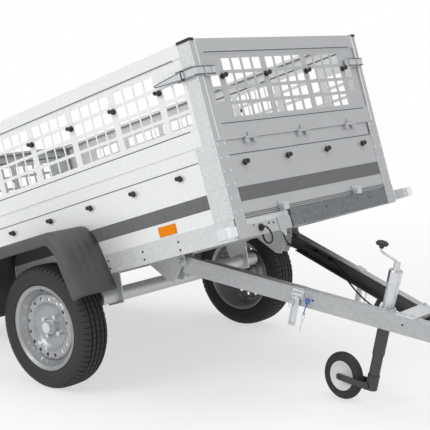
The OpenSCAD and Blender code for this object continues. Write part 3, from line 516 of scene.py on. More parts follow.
def repeated(name, shape, places, body, key, stands_for=(), smooth=40):
    """Copies of a Shape at places, which are (point, outward, along) in metres of the row frame."""
    stamp = loose(name + "_stamp", shape.mesh(name + "_stamp", Matrix.Scale(MM, 4), smooth))
    points = bpy.data.meshes.new(name)
    points.from_pydata([p for p, _, _ in places], [], [])
    for label, k in (("outward", 1), ("along", 2)):
        attribute = points.attributes.new(label, "FLOAT_VECTOR", "POINT")
        attribute.data.foreach_set("vector", [x for place in places for x in place[k]])
    mesh = baked(loose(name + "_places", points), "places",
                 {"Shape": stamp, "Finish": FINISH[key]})
    bpy.data.objects.remove(stamp)
    mesh.name = name
    mesh.set_sharp_from_angle(angle=math.radians(smooth))
    return piece(name, mesh, body, [key], stands_for)


def oval(centre, wide, high, count=16):
    """A closed ring of points round x."""
    turns = [2 * math.pi * i / count for i in range(count + 1)]
    return [Vector((centre[0], centre[1] + wide * math.cos(a), centre[2] + high * math.sin(a))) for a in turns]


def on_face(at, points, outward=(0, -1, 0), along=(1, 0, 0)):
    """Places on a plane of a local frame."""
    turn = at.to_3x3().normalized()
    return [(at @ Vector(p), turn @ Vector(outward), turn @ Vector(along)) for p in points]


# Sizes and colours that a user would change


def colour(name, text, code):
    return bpy.props.FloatVectorProperty(name=name, description=text, subtype="COLOR", min=0, max=1,
                                         default=linear(code))


class TrailerColours(bpy.types.PropertyGroup):
    galvanised: colour("Galvanised", "Zinc of the rails and posts", "#d6d8d9")
    sheet: colour("Side sheet", "Coated sheet of the sides", "#eceded")
    fender: colour("Fender", "Plastic of the fenders", "#4e4f50")
    rim: colour("Rims", "Enamel of the wheel discs", "#abadaf")
    tyre: colour("Tyres", "Rubber of the tyres", "#303031")
    reflector: colour("Reflectors", "Orange of the side reflectors", "#ea8700")
    pull: colour("Pulls", "Blue of the latch pulls", "#2b5fc0")


class TrailerSizes(bpy.types.PropertyGroup):
    cable: bpy.props.FloatProperty(
        name="Cable", description="Diameter of the lighting cable", default=0.007, unit="LENGTH")
    pitches: bpy.props.IntProperty(
        name="Tread pitches", description="Blocks of tread round a tyre", default=64, min=24, max=90)
    groove: bpy.props.FloatProperty(
        name="Tread depth", description="Depth of the tread grooves", default=0.0065, unit="LENGTH")
    rivet: bpy.props.FloatProperty(
        name="Rivet head", description="Radius of a rivet head on the posts", default=0.005, unit="LENGTH")
    bolt: bpy.props.FloatProperty(
        name="Bolt head", description="Radius of a bolt head on the frame", default=0.0075, unit="LENGTH")


class TRAILER_OT_stage(bpy.types.Operator):
    """Pale floor, soft studio light and the camera"""

    bl_idname = "trailer.stage"
    bl_label = "Stage"

    def execute(self, context):
        scene = context.scene
        scene.view_settings.view_transform = "Standard"
        forward = Vector((0.7567, 0.6215, -0.2022)).normalized()
        right = Vector((0.6336, -0.7741, -0.0071))
        right = (right - forward * right.dot(forward)).normalized()
        up = right.cross(forward)
        camera = bpy.data.objects.new("camera", bpy.data.cameras.new("camera"))
        turn = Matrix((right, up, -forward)).transposed().to_4x4()
        camera.matrix_world = Matrix.Translation((-3.575, AXIS.y - 3.32363, 1.461)) @ turn
        camera.data.lens = 91.9
        camera.data.sensor_width = 36
        camera.data.shift_x = -0.0226
        camera.data.shift_y = 0.0891
        scene.collection.objects.link(camera)
        scene.camera = camera
        self.floor(scene)
        self.light(scene)
        return {"FINISHED"}

    def floor(self, scene):
        bm = bmesh.new()
        bmesh.ops.create_grid(bm, x_segments=1, y_segments=1, size=60)
        mesh = bpy.data.meshes.new("studio_floor")
        bm.to_mesh(mesh)
        bm.free()
        floor = bpy.data.objects.new("studio_floor", mesh)
        scene.collection.objects.link(floor)
        # Matt white studio paper, brighter to the camera away from the trailer, so that it has no horizon
        material = bpy.data.materials.new("studio_paper")
        material.use_nodes = True
        tree = material.node_tree
        tree.nodes.clear()
        coords = add(tree, "ShaderNodeTexCoord").outputs["Object"]
        far = add(tree, "ShaderNodeVectorMath", {"operation": "LENGTH"}, _0=coords).outputs["Value"]
        ring = add(tree, "ShaderNodeMapRange", {"From Min": 1.6, "From Max": 4.2, "To Min": 0.6, "To Max": 1.0},
                   Value=far).outputs[0]
        rays = add(tree, "ShaderNodeLightPath")
        seen = add(tree, "ShaderNodeMath", {"operation": "MAXIMUM"}, _0=rays.outputs["Is Camera Ray"],
                   _1=rays.outputs["Is Glossy Ray"]).outputs[0]
        share = add(tree, "ShaderNodeMath", {"operation": "MULTIPLY"}, _0=ring, _1=seen).outputs[0]
        paper = add(tree, "ShaderNodeBsdfDiffuse", {"Color": (0.86, 0.86, 0.86, 1)}).outputs[0]
        glow = add(tree, "ShaderNodeEmission", {"Color": (1, 1, 1, 1), "Strength": 1.0}).outputs[0]
        mix = add(tree, "ShaderNodeMixShader", None, _0=share, _1=paper, _2=glow).outputs[0]
        add(tree, "ShaderNodeOutputMaterial", None, Surface=mix)
        mesh.materials.append(material)

    def light(self, scene):
        world = bpy.data.worlds.new("studio")
        scene.world = world
        world.use_nodes = True
        tree = world.node_tree
        tree.nodes.clear()
        rays = add(tree, "ShaderNodeLightPath")
        seen = add(tree, "ShaderNodeMath", {"operation": "MAXIMUM"}, _0=rays.outputs["Is Camera Ray"],
                   _1=rays.outputs["Is Transmission Ray"]).outputs[0]
        level = add(tree, "ShaderNodeMapRange", {"To Min": 0.62, "To Max": 1.0}, Value=seen).outputs[0]
        sky = add(tree, "ShaderNodeBackground", {"Color": (1, 1, 1, 1)}, Strength=level).outputs[0]
        add(tree, "ShaderNodeOutputWorld", None, Surface=sky)
        lamps = [("key_lamp", (-6.0, 1.5, 4.6), 3.0, 190), ("top_lamp", (0.5, -1.0, 6.0), 4.0, 120),
                 ("front_lamp", (1.5, -6.5, 2.6), 3.5, 60)]
        for name, place, size, power in lamps:
            lamp = bpy.data.lights.new(name, "AREA")
            lamp.size = size
            lamp.energy = power
            obj = bpy.data.objects.new(name, lamp)
            obj.location = place
            obj.rotation_mode = "QUATERNION"
            obj.rotation_quaternion = (Vector((0, 0.2, 0.5)) - Vector(place)).to_track_quat("-Z", "Y")
            scene.collection.objects.link(obj)


LOOP = [(-408, -10, 26), (-408, -24, 24), (-407, -36, 8), (-403, -38, -12), (-396, -28, -30), (-386, -8, -38),
        (-370, 20, -34), (-346, 48, -18), (-312, 76, 8), (-276, 100, 34), (-240, 122, 52), (-200, 148, 60),
        (-120, 199, 60), (0, 275, 60), (100, 338, 60), (160, 374, 58), (214, 404, 50), (256, 426, 34),
        (284, 442, 12), (298, 450, -8), (300, 450, -22)]
RUN = [(302, -7, -12), (306, -16, -23), (311, -30, -32), (316, -50, -34), (320, -75, -28), (321, -102, -20),
       (309, -140, -16), (290, -200, -16), (258, -302, -16), (240, -340, -18), (216, -380, -26), (188, -430, -44),
       (164, -490, -62), (140, -555, -75), (117, -620, -78), (92, -690, -69), (70, -755, -48), (52, -815, -22),
       (38, -865, -6), (26, -905, -16), (18, -940, -38), (13, -980, -64), (16, -1020, -78), (26, -1060, -74),
       (40, -1094, -52), (51, -1114, -22), (56, -1124, 4), (58, -1137, 22), (58, -1156, 28)]


class TRAILER_OT_cable(bpy.types.Operator):
    """Lighting cable from its gland, under the floor and along the drawbar to its plug"""

    bl_idname = "trailer.cable"
    bl_label = "Lighting cable"

    def execute(self, context):
        diameter = context.scene.trailer_sizes.cable
        points = [BOX @ Vector(p) for p in LOOP] + [BAR @ Vector(p) for p in RUN]
        line = curve(points, 6)
        shape = Shape()
        shape.tube(line, diameter / 2, 12)
        cable = piece("lighting_cable", shape.mesh("lighting_cable", Matrix()), None, ["cable"],
                      ["cable_loop", "cable_run"])
        # the fold line lies between the two halves of the route
        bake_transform(cable)
        return {"FINISHED"}


PLAIN = {
    "galvanised": ["cross_members", "hinge_brackets", "axle_tube", "axle_brackets"],
    "side_sheet": ["side_wall_left", "side_wall_right", "side_mesh_left", "side_mesh_right"],
    "front_sheet": ["front_wall", "front_mesh", "rear_mesh", "tailgate"],
    "plywood": ["floor"],
    "band": ["colour_bands"],
    "black_plastic": ["cable_clips", "beam_clips"],
    "zinc": ["hinge_pins", "hub_left", "hub_right"],
    "cable": ["cable_plug"],
    "dark_steel": ["swing_arms", "jockey_leg"],
}
# Outer faces at the front and the rear, which take the end sheet with its painted shade
SHADED_END_FACES = [(1, (-544, -3, -60), (544, 0.6, 790)), (1, (-544, BOX_L - 0.6, -60), (544, BOX_L + 3, 790))]
# Inner faces of a beam's web and flanges, which take the painted shade of the channel
SHADED_BEAM_INSIDE = [(1, (2.2, -1500, 2.2), (60, 60, 67.8))]
# Node, name of its dressed copy, finishes, zones of the others, frame, width of its soft edges
DRESSED = [
    ("side_rails", "edged_side_rails", ["galvanised"], [], BOX, 1.0),
    ("front_rail", "edged_front_rail", ["galvanised", "front_sheet"], SHADED_END_FACES, BOX, 1.0),
    ("rear_rail", "edged_rear_rail", ["galvanised", "front_sheet"], SHADED_END_FACES, BOX, 1.0),
    ("lower_posts", "edged_lower_posts", ["galvanised", "front_sheet"], SHADED_END_FACES, BOX, 0.6),
    ("upper_posts", "edged_upper_posts", ["galvanised", "front_sheet"], SHADED_END_FACES, BOX, 0.6),
    ("post_caps", "rounded_post_caps", ["black_plastic"], [], BOX, 1.2),
    ("side_reflectors", "edged_side_reflectors", ["reflector"], [], BOX, 1.4),
    ("marker_lamps", "edged_marker_lamps", ["lamp_body", "lamp_white"],
     [(1, (-640, -60, -40), (640, -21.5, 90))], BOX, 1.5),
    ("drawbar_catches", "edged_drawbar_catches", ["zinc"], [], BOX, 0.8),
    ("beam_left", "edged_beam_left", ["beam", "beam_inside_painted_shade"], SHADED_BEAM_INSIDE, beam(-1), 1.2),
    ("beam_right", "edged_beam_right", ["beam", "beam_inside_painted_shade"], SHADED_BEAM_INSIDE, beam(1), 1.2),
    ("cross_plate", "edged_cross_plate", ["galvanised"], [], BAR, 1.0),
    ("coupling", "edged_coupling", ["galvanised"], [], BAR, 2.0),
    ("coupling_handle", "edged_coupling_handle", ["black_plastic"], [], BAR, 1.5),
    ("drawbar_latches", "edged_drawbar_latches", ["zinc"], [], BAR, 0.8),
    ("jockey_clamp", "edged_jockey_clamp", ["zinc"], [], BAR, 1.5),
    ("clamp_handle", "edged_clamp_handle", ["black_plastic"], [], BAR, 2.0),
    ("jockey_sleeve", "edged_jockey_sleeve", ["zinc", "chrome", "dark_steel"],
     [(1, (-100, -900, LEG_TOP - 52.2), (-20, -600, 200)), (2, (-120, -900, -400), (-20, -600, -12))], BAR, 0.8),
    ("jockey_crank", "edged_jockey_crank", ["zinc", "black_plastic"],
     [(1, (-120, -760, LEG_TOP + 68.5), (-40, -640, LEG_TOP + 120))], BAR, 0.8),
    ("jockey_fork", "edged_jockey_fork", ["dark_steel"], [], BAR, 1.0),
    ("jockey_rim", "edged_jockey_rim", ["white_coat"], [], BAR, 0),
    ("jockey_tyre", "edged_jockey_tyre", ["tyre"], [], BAR, 0),
    ("rim_left", "smooth_rim_left", ["rim"], [], BOX, 0),
    ("rim_right", "smooth_rim_right", ["rim"], [], BOX, 0),
]


class TRAILER_OT_finishes(bpy.types.Operator):
    """Finishes on the CAD pieces, and soft edges on those of folded steel"""

    bl_idname = "trailer.finishes"
    bl_label = "Finishes"

    def execute(self, context):
        for key, nodes in PLAIN.items():
            for node in nodes:
                obj = frame["nodes"][node]
                if not obj.material_slots:
                    obj.data.materials.append(None)
                for place in obj.material_slots:
                    place.material = FINISH[key]
        for node, name, finishes, zones, at, bevel in DRESSED:
            dressed(node, name, finishes, zones, at, bevel)
        return {"FINISHED"}


# Radius and distance from the middle of the tyre, from the tread to the bead
TYRE_SIDE = [(254, 48.5), (250.5, 54), (246.5, 58.5), (241, 62), (234, 65), (227, 66.8), (220, 67.4),
             (214.2, 67.4), (213.6, 68.1), (211, 67.9), (210.4, 67), (203.8, 66.4), (193, 64.8), (186, 63),
             (182, 60.8), (178.6, 58.2), (178, 57.1), (168, 55.6), (162.8, 52.1)]
# Grooves as distances of their edges from the middle
GROOVES = [(8.4, 15.4), (30.2, 37.2)]


class TRAILER_OT_tyres(bpy.types.Operator):
    """Road tyres with grooves round the tread and slits across its ribs"""

    bl_idname = "trailer.tyres"
    bl_label = "Tyres"

    def section(self, depth):
        """Rows from the middle to the bead: radius, distance and how far a slit cuts in there."""
        rows = [(258.0, 0.0, 0.7)]
        for a, b in GROOVES:
            top = 258 - 0.0014 * a * a
            rows += [(top, a, 0.7), (top - depth, a + 0.5, 0), (top - depth, b - 0.5, 0), (top, b, 0.7)]
        cuts = [0.9, 0.85, 0.7, 0.4, 0.0]
        rows += [(r, z, cuts[i] if i < len(cuts) else 0) for i, (r, z) in enumerate(TYRE_SIDE)]
        return rows

    def execute(self, context):
        sizes = context.scene.trailer_sizes
        pitch = 2 * math.pi / sizes.pitches
        depth = sizes.groove / MM
        half = self.section(depth)
        rows = [(r, z, c) for r, z, c in reversed(half)] + [(r, -z, c) for r, z, c in half[1:]]
        shape = Shape()
        lines = []
        for r, z, cut in rows:
            wide = 0.07 if abs(z) > 37 else 0.045
            middle = 0.5 + 0.011 * z * (1 if abs(z) < 30 else 0)
            shares = [0, middle - wide - 0.012, middle - wide, middle + wide, middle + wide + 0.012, 1]
            radii = [r, r, r - cut * depth, r - cut * depth, r, r]
            lines.append([Vector((q * math.cos(a * pitch), q * math.sin(a * pitch), z))
                          for a, q in zip(shares, radii)])
        shape.grid(lines, closed_rows=True)
        sector = shape.mesh("tread_pitch", Matrix())
        ring = baked(loose("tread_ring", sector), "ring",
                     {"Count": sizes.pitches, "Weld": 0.02, "Finish": FINISH["tyre"]})
        for s, name in ((-1, "left"), (1, "right")):
            bm = bmesh.new()
            bm.from_mesh(ring)
            bmesh.ops.transform(bm, matrix=wheel(s), verts=bm.verts)
            bmesh.ops.recalc_face_normals(bm, faces=bm.faces)
            mesh = bpy.data.meshes.new("treaded_tyre_" + name)
            bm.to_mesh(mesh)
            bm.free()
            mesh.shade_smooth()
            mesh.set_sharp_from_angle(angle=math.radians(38))
            piece("treaded_tyre_" + name, mesh, "wheel_" + name, ["tyre"], ["tyre_" + name])
            valve = Shape()
            valve.tube([(146, -30, 16), (150, -31, 32), (155, -32, 50)], 4, 10)
            valve.tube([(155, -32, 50), (157.5, -32.5, 58)], 3, 10)
            piece("valve_" + name, valve.mesh("valve_" + name, wheel(s)), "wheel_" + name,
                  ["black_plastic"])
        return {"FINISHED"}


# Corners of a fender's top line round the wheel axis, as distance behind it and height
FENDER_LINE = [(-320, -62), (-274, 149), (-222, 219), (222, 219), (274, 149), (320, -62)]
FENDER_SKIRT = 50
FENDER_WALL = 3.5
# Across a fender: distance from the box, depth below the top line, share of a groove's depth
GROOVE = ((0, 0), (4, 0.5), (8, 1), (24, 1), (28, 0.5), (32, 0))
FENDER_SECTION = ([(0, 0, 0)] + [(start + w, 0, share) for start in (34, 78, 122) for w, share in GROOVE]
                  + [(172, 0, 0), (182, 1.4, 0), (190, 5.6, 0), (196, 12, 0), (199, 19, 0), (200, 27, 0),
                     (200, 38, 0), (200, 50, 0)])


class TRAILER_OT_fenders(bpy.types.Operator):
    """Moulded fenders with rounded shoulders and grooves over their slopes"""

    bl_idname = "trailer.fenders"
    bl_label = "Fenders"

    def lines(self):
        """The top line and the lower edge of the skirt, with matching points."""
        path = [Vector(p) for p in FENDER_LINE]
        edges = [(b - a).normalized() for a, b in zip(path, path[1:])]
        inward = [Vector((e.y, -e.x)) for e in edges]
        low = [path[0] + inward[0] * FENDER_SKIRT]
        for i in range(1, 5):
            u = (inward[i - 1] + inward[i]).normalized()
            low.append(path[i] + u * (FENDER_SKIRT / u.dot(inward[i])))
        low.append(path[5] + inward[4] * FENDER_SKIRT)
        return [self.soft(path, 38), self.soft(low, 18)]

    def soft(self, path, cut):
        line = []
        for i in range(5):
            a, b = path[i], path[i + 1]
            along = (b - a).normalized()
            start = a + along * (cut if i > 0 else 0)
            end = b - along * (cut if i < 4 else 0)
            line += [start.lerp(end, k / 10) for k in range(11)]
            if i < 4:
                after = (path[i + 2] - b).normalized() * cut + b
                line += [(1 - t) ** 2 * end + 2 * t * (1 - t) * b + t * t * after for t in (0.2, 0.4, 0.6, 0.8)]
        return line

    def execute(self, context):
        top, low = self.lines()
        for s, name in ((-1, "left"), (1, "right")):
            shape = Shape()
            rows = []
            for p, q in zip(top, low):
                down = (q - p) / FENDER_SKIRT
                slope = min(1, max(0, (abs(p.x) - 196) / 26)) * min(1, max(0, (p.y + 20) / 60))
                row = []
                for w, d, groove in FENDER_SECTION:
                    at = p + down * (d + 2.2 * groove * slope)
                    row.append(Vector((s * (BOX_W / 2 + w), WHEEL_Y + at.x, at.y)))
                rows.append(row)
            shape.grid(rows)
            mesh = shape.mesh("moulded_fender_" + name, BOX, 60)
            highest = max(mesh.polygons, key=lambda face: face.center.z + abs(face.normal.z))
            if highest.normal.z < 0:
                mesh.flip_normals()
            fender = piece("moulded_fender_" + name, mesh, "chassis", ["fender"], ["fender_" + name])
            wall = fender.modifiers.new("wall", "SOLIDIFY")
            wall.thickness = FENDER_WALL * MM
            wall.offset = -1
        return {"FINISHED"}


# Spacing of the cover locks, and their distance below the top of the wall and of the mesh
SIDE_PITCH = 255
END_PITCH = 268
LOCK_DROPS = (89, 144)


class TRAILER_OT_locks(bpy.types.Operator):
    """Two-lobed twist locks for the cover, in rows on the walls and the mesh"""

    bl_idname = "trailer.locks"
    bl_label = "Twist locks"

    def shape(self, depth):
        lock = Shape()
        lock.lathe([(0, -depth), (12, -depth), (12, 2.4 - depth), (10.5, 3.4 - depth), (0, 3.4 - depth)], steps=24)
        lock.lathe([(0, -depth + 3), (5.5, -depth + 3), (5.5, 8), (0, 8)], steps=16)
        for x, r in ((-7.5, 9.6), (8.5, 8.2)):
            lock.lathe([(0, 6), (r - 2, 6), (r, 8), (r, 12), (r - 2, 14.4), (0, 15)],
                       Matrix.Translation((x, 0, 0)), 24)
        lock.prism(rounded([(-8, -4.5), (8, -4.5), (8, 4.5), (-8, 4.5)], 2), 6.5, 12.5)
        return lock

    def execute(self, context):
        low, high = SPLIT_H - LOCK_DROPS[0], TOP_H - LOCK_DROPS[1]
        sides, ends = {}, {}
        for z in (low, high):
            along_side = [((i - 3) * SIDE_PITCH, POST_T, z) for i in range(7)]
            along_end = [((i - 1.5) * END_PITCH, POST_T, z) for i in range(4)]
            sides[z] = [p for s in (-1, 1) for p in on_face(side(s), along_side, along=(-1, 0, 0.3))]
            for key, at in (("front", BOX), ("rear", REAR)):
                ends[key, z] = on_face(at, along_end, along=(-1, 0, -0.3))
        rows = [("wall_locks", 0, sides[low] + ends["front", low], "chassis", ["cover_knobs"]),
                ("mesh_locks", STEP, sides[high], "chassis", []),
                ("front_mesh_locks", STEP, ends["front", high], "front_gate", ["front_mesh_knobs"]),
                ("tailgate_locks", 0, ends["rear", low], "tailgate", ["tailgate_knobs"]),
                ("rear_mesh_locks", STEP, ends["rear", high], "rear_gate", ["rear_mesh_knobs"])]
        for name, depth, places, body, nodes in rows:
            repeated(name, self.shape(depth), places, body, "black_plastic", nodes)
        return {"FINISHED"}


class TRAILER_OT_fasteners(bpy.types.Operator):
    """Rivets along the posts, screws on the side rails and bolts of the drawbar"""

    bl_idname = "trailer.fasteners"
    bl_label = "Rivets and bolts"

    def execute(self, context):
        sizes = context.scene.trailer_sizes
        rivet = Shape()
        r = sizes.rivet / MM
        rivet.lathe([(0, -0.4), (r, -0.4), (r, 0.5), (r * 0.8, 1.5), (r * 0.45, 2.2), (0, 2.4)], steps=12)
        places = []
        low_rows, high_rows = range(102, SPLIT_H - 8, 50), range(SPLIT_H + 32, TOP_H - 70, 88)
        for s in (-1, 1):
            for end in (-1, 1):
                for x in (BOX_L / 2 - 14, BOX_L / 2 - 86):
                    places += on_face(side(s), [(end * x, 0, z) for z in low_rows])
                places += on_face(side(s), [(end * (BOX_L / 2 - 50), 0, z) for z in high_rows])
            for at in (BOX, REAR):
                for x in (BOX_W / 2 - 12, BOX_W / 2 - 52):
                    places += on_face(at, [(s * x, 0, z) for z in low_rows])
        repeated("post_rivets", rivet, places, "chassis", "zinc")
        bolt = Shape()
        r = sizes.bolt / MM
        bolt.lathe([(0, -0.5), (r + 3, -0.5), (r + 3, 1.2), (r + 2.6, 1.5), (0, 1.5)], steps=20)
        bolt.prism([(r * math.cos(a * math.pi / 3), r * math.sin(a * math.pi / 3)) for a in range(6)], 1.2, 6)
        bolt.lathe([(0, 5), (r * 0.5, 5), (r * 0.5, 10), (r * 0.4, 10.8), (0, 10.8)], steps=12)
        places = []
        for s in (-1, 1):
            places += on_face(side(s), [(x * -s, 0, z) for x in (-800, -560, 284, 484, 680) for z in (19, 50)])
        repeated("frame_screws", rivet, places, "chassis", "dark_steel")
        places = []
        for q in (843, 879):
            edge = BEAM_X - math.tan(BEAM_ANGLE) * q - 18
            places += on_face(BAR, [(s * edge, -q, BAR_RISE + 4) for s in (-1, 1)], (0, 0, 1))
        places += on_face(BAR, [(x, -q, BAR_RISE + 26) for x in (-24, 24) for q in (1022, 1084)], (0, 0, 1))
        repeated("drawbar_bolts", bolt, places, "drawbar", "zinc")
        return {"FINISHED"}


class TRAILER_OT_latches(bpy.types.Operator):
    """Over-centre latches that hold the mesh gates to the corners"""

    bl_idname = "trailer.latches"
    bl_label = "Corner latches"

    def latch(self, shape, at):
        mid = TOP_H - 120
        # base plate through the post to the mesh sheet, its turned rims, and the strap over the corner with its own rims
        shape.block((8, 0.1 - POST_T - STEP, mid - 20), (96, STEP + 2.5, mid + 20), at)
        for z in (mid - 20, mid + 18):
            shape.block((8, STEP + 2, z), (96, STEP + 6, z + 2), at, 1)
        shape.block((-3, 4, mid - 13), (62, 6.5, mid + 13), at)
        shape.block((-5.5, -98, mid - 13), (-3, 6.5, mid + 13), at)
        for z in (mid - 15, mid + 13):
            shape.block((-7.5, -98, z), (-3, 8, z + 2.2), at, 1)
            shape.block((-7.5, 4, z), (60, 9, z + 2.2), at, 1)
        # hook of the strap, on the gate
        shape.block((-8.5, -96, mid - 12), (-5.4, -78, mid + 12), at)
        # buckle block, its pin and the tapered lever
        shape.block((56, 6, mid - 12), (78, 15, mid + 12), at)
        shape.tube([at @ Vector((66, 12, z)) for z in (mid - 17, mid + 17)], 4.5, 12, 1)
        lever = [(70, 15), (92, 13), (150, 9), (206, 4), (212, 0), (206, -6), (150, -12), (92, -14), (70, -15)]
        flat = at @ Matrix(((1, 0, 0, 0), (0, 0, 1, 0), (0, 1, 0, mid), (0, 0, 0, 1)))
        shape.prism(rounded(lever, 4), 13, 16, flat)
        rim = [(74, 12.5), (92, 11.2), (150, 7.4), (200, 2.8), (206, 0)]
        for turn in (1, -1):
            line = [flat @ Vector((x, turn * y - (0 if turn > 0 else 1.5), 16)) for x, y in rim]
            shape.tube(line, 1.6, 8, 1)

    def execute(self, context):
        shape = Shape()
        for s in (-1, 1):
            for end in (1, -1):
                self.latch(shape, BOX.inverted() @ corner(s, end))
        piece("strap_latches", shape.mesh("strap_latches", BOX), "chassis", ["zinc", "dark_steel"],
              ["corner_latches"], 0.5)
        return {"FINISHED"}


class TRAILER_OT_creases(bpy.types.Operator):
    """Dark lines of painted shade in the creases across the sheets, and the strips beside the upper posts"""

    bl_idname = "trailer.creases"
    bl_label = "Creases"

    def execute(self, context):
        upper = [TOP_H - 52, SPLIT_H + 63]
        lower = [SPLIT_H - 55]
        side_half, end_half = BOX_L / 2 - 104, BOX_W / 2 - 66
        rows = [("side_creases", [side(-1), side(1)], side_half, upper + lower, "chassis"),
                ("wall_crease", [BOX], end_half, lower, "chassis"),
                ("gate_creases", [BOX], end_half, upper, "front_gate"),
                ("tailgate_crease", [REAR], end_half, lower, "tailgate"),
                ("rear_gate_creases", [REAR], end_half, upper, "rear_gate")]
        for name, frames, half, lines, body in rows:
            shape = Shape()
            for at in frames:
                for z in lines:
                    shape.block((-half, POST_T - 0.5, z - 1.8), (half, POST_T + STEP + 2.6, z + 1.8),
                                BOX.inverted() @ at)
            # each crease line is a thin dark strip of painted shade
            piece(name, shape.mesh(name, BOX), body, ["crease_painted_shade"])
        shape = Shape()
        for at in (BOX, REAR):
            for s in (-1, 1):
                x0, x1 = sorted((s * (BOX_W / 2 - 24), s * (BOX_W / 2 - 31)))
                shape.block((x0, -0.6, SPLIT_H + 4), (x1, 2.2, TOP_H - 4), BOX.inverted() @ at)
        piece("post_strips", shape.mesh("post_strips", BOX), "chassis", ["white_coat"], (), 0.4)
        return {"FINISHED"}


class TRAILER_OT_front_fittings(bpy.types.Operator):
    """Corner plates of both rails, skirt and bracket of the front rail, and fittings of the drawbar latches"""

    bl_idname = "trailer.front_fittings"
    bl_label = "Front fittings"

    def rail(self):
        shape = Shape()
        for s in (-1, 1):
            x0, x1 = sorted((s * (BOX_W / 2 + 0.5), s * (BOX_W / 2 - 62)))
            for at in (Matrix(), BOX.inverted() @ REAR):
                shape.block((x0, -1.6, 3), (x1, -0.1, RAIL_H), at)
        # pointed bracket with its turned edge
        flat = Matrix(((1, 0, 0, 0), (0, 0, -1, 0), (0, 1, 0, 0), (0, 0, 0, 1)))
        shape.prism(rounded([(-304, 50), (-232, 46), (-232, 40), (-262, 2), (-270, -26), (-278, -26), (-300, 4)], 4),
                    0.2, 3.4, flat)
        piece("corner_plates", shape.mesh("corner_plates", BOX), "chassis", ["front_sheet"], (), 0.5)
        shape = Shape()
        shape.block((-214, -1.2, 2), (BOX_W / 2 - 63, -0.1, RAIL_H - 8))
        piece("front_skirt", shape.mesh("front_skirt", BOX), "chassis", ["skirt"], (), 0.4)
        # seam beside the skirt, dark lines of painted shade along the ledges under the wall, and dark discs of
        # painted shade in the punched holes
        shape = Shape()
        shape.block((-218, -1.9, -4), (-213.5, -0.1, RAIL_H))
        for z in (RAIL_H - 6, RAIL_H + 1.2, RAIL_H + 8):
            shape.block((-BOX_W / 2 + 64, -0.6, z), (BOX_W / 2 - 64, 2.4, z + 1.8))
        for x, z, r in ((-356, 36, 4), (-328, 34, 4), (-446, 40, 3), (30, 50, 4), (352, 44, 3), (352, 24, 3)):
            shape.lathe([(0, 0), (r, 0), (r, 1.9), (0, 1.9)], flat @ Matrix.Translation((x, z, 0)), 14)
        piece("front_seams", shape.mesh("front_seams", BOX), "chassis", ["black_plastic"])

    def pulls(self):
        """A blue pull with its cord and spring pin, a ring, a saddle plate and dark discs of painted shade for the
        web holes at each latch.
        """
        parts = {"blue": Shape(), "zinc": Shape(), "dark_steel": Shape()}
        for s in (-1, 1):
            at = BAR.inverted() @ beam(s) @ Matrix.Translation((0, -484, BEAM_H))
            out = -14
            parts["blue"].tube([at @ p for p in oval((out, -44, -38), 6, 10)], 3.2, 10)
            parts["blue"].tube([at @ Vector(p) for p in
                                ((out, -44, -48), (out, -43, -60), (out, -40, -74), (out, -39, -88))], 2.0, 10)
            parts["blue"].tube([at @ p for p in oval((out, -39, -92), 3.4, 4.4)], 1.6, 8)
            loop = [(-39, -94), (-44, -104), (-43, -116), (-39, -126), (-38, -140), (-35, -150), (-37, -160),
                    (-35, -168)]
            back = [(-39, -94), (-34, -104), (-34, -116), (-37, -126), (-36, -166)]
            for line in (loop, back):
                parts["zinc"].tube(curve([at @ Vector((out, y, z)) for y, z in line], 4), 1.5, 8)
            parts["zinc"].tube([at @ p for p in oval((out - 4, 16, -64), 9, 14)], 1.8, 8)
            # saddle plate over the top of the beam
            parts["zinc"].block((-5.9, -23.9, 0.1), (30, 23.9, 3.2), at)
            # the web holes are dark discs of painted shade on the web
            for y, z, r in ((-62, -34, 4.4), (-900 + 484, -32, 4.4)):
                turned = at @ Matrix.Translation((0, y, z)) @ Matrix.Rotation(-math.pi / 2, 4, "Y")
                parts["dark_steel"].lathe([(0, 0), (r, 0), (r, 0.7), (0, 0.7)], turned, 14)
        for key, shape in parts.items():
            name = {"blue": "latch_pulls", "zinc": "latch_pins", "dark_steel": "web_holes"}[key]
            piece(name, shape.mesh(name, BAR), "drawbar", [key])

    def execute(self, context):
        self.rail()
        self.pulls()
        return {"FINISHED"}


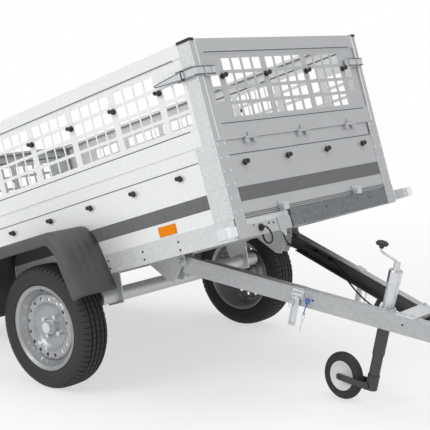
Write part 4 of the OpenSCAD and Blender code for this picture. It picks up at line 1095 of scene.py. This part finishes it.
class TRAILER_OT_lamps(bpy.types.Operator):
    """Tail lamps with red, amber and clear lenses"""

    bl_idname = "trailer.lamps"
    bl_label = "Tail lamps"

    def execute(self, context):
        shape = Shape()
        rearward = Matrix.Rotation(math.pi / 2, 4, "X") @ Matrix.Scale(-1, 4, (0, 0, 1))
        outer, wide = BOX_W / 2 - 40, 210
        for s in (-1, 1):
            x0, x1 = sorted((s * outer, s * (outer - wide)))
            shape.prism(rounded([(x0, -8), (x1, -8), (x1, 43), (x0, 43)], 6), -16, -0.3, rearward)
            for a, b, number in ((0.02, 0.45, 1), (0.46, 0.74, 2), (0.75, 0.98, 3)):
                u0, u1 = sorted((s * (outer - wide * a), s * (outer - wide * b)))
                shape.prism(rounded([(u0, -5), (u1, -5), (u1, 40), (u0, 40)], 5), -31.5, -15.5, rearward, number)
        piece("lensed_tail_lamps", shape.mesh("lensed_tail_lamps", REAR), "chassis",
              ["black_plastic", "lamp_red", "reflector", "lamp_white"], ["tail_lamps"], 1.2)
        return {"FINISHED"}


OPERATORS = (TRAILER_OT_stage, TRAILER_OT_cable, TRAILER_OT_finishes, TRAILER_OT_tyres, TRAILER_OT_fenders,
             TRAILER_OT_locks, TRAILER_OT_fasteners, TRAILER_OT_latches, TRAILER_OT_creases,
             TRAILER_OT_front_fittings, TRAILER_OT_lamps)


class TRAILER_PT_panel(bpy.types.Panel):
    """Steps that dress the trailer, with its sizes and colours"""

    bl_idname = "TRAILER_PT_panel"
    bl_label = "Utility trailer"
    bl_space_type = "VIEW_3D"
    bl_region_type = "UI"
    bl_category = "Trailer"

    def draw(self, context):
        for group in (context.scene.trailer_sizes, context.scene.trailer_colours):
            for name in group.__annotations__:
                self.layout.prop(group, name)
        for operator in OPERATORS:
            self.layout.operator(operator.bl_idname)


CLASSES = (TrailerColours, TrailerSizes, *OPERATORS, TRAILER_PT_panel)


def register():
    for cls in CLASSES:
        bpy.utils.register_class(cls)
    bpy.types.Scene.trailer_colours = bpy.props.PointerProperty(type=TrailerColours)
    bpy.types.Scene.trailer_sizes = bpy.props.PointerProperty(type=TrailerSizes)


def unregister():
    del bpy.types.Scene.trailer_sizes
    del bpy.types.Scene.trailer_colours
    for cls in reversed(CLASSES):
        bpy.utils.unregister_class(cls)


def main():
    register()
    FINISH.update(make_finishes())
    TREES.update(places=places_tree(), ring=ring_tree())
    for operator in OPERATORS:
        getattr(bpy.ops.trailer, operator.bl_idname.split(".")[1])()


if __name__ == "__main__":
    main()
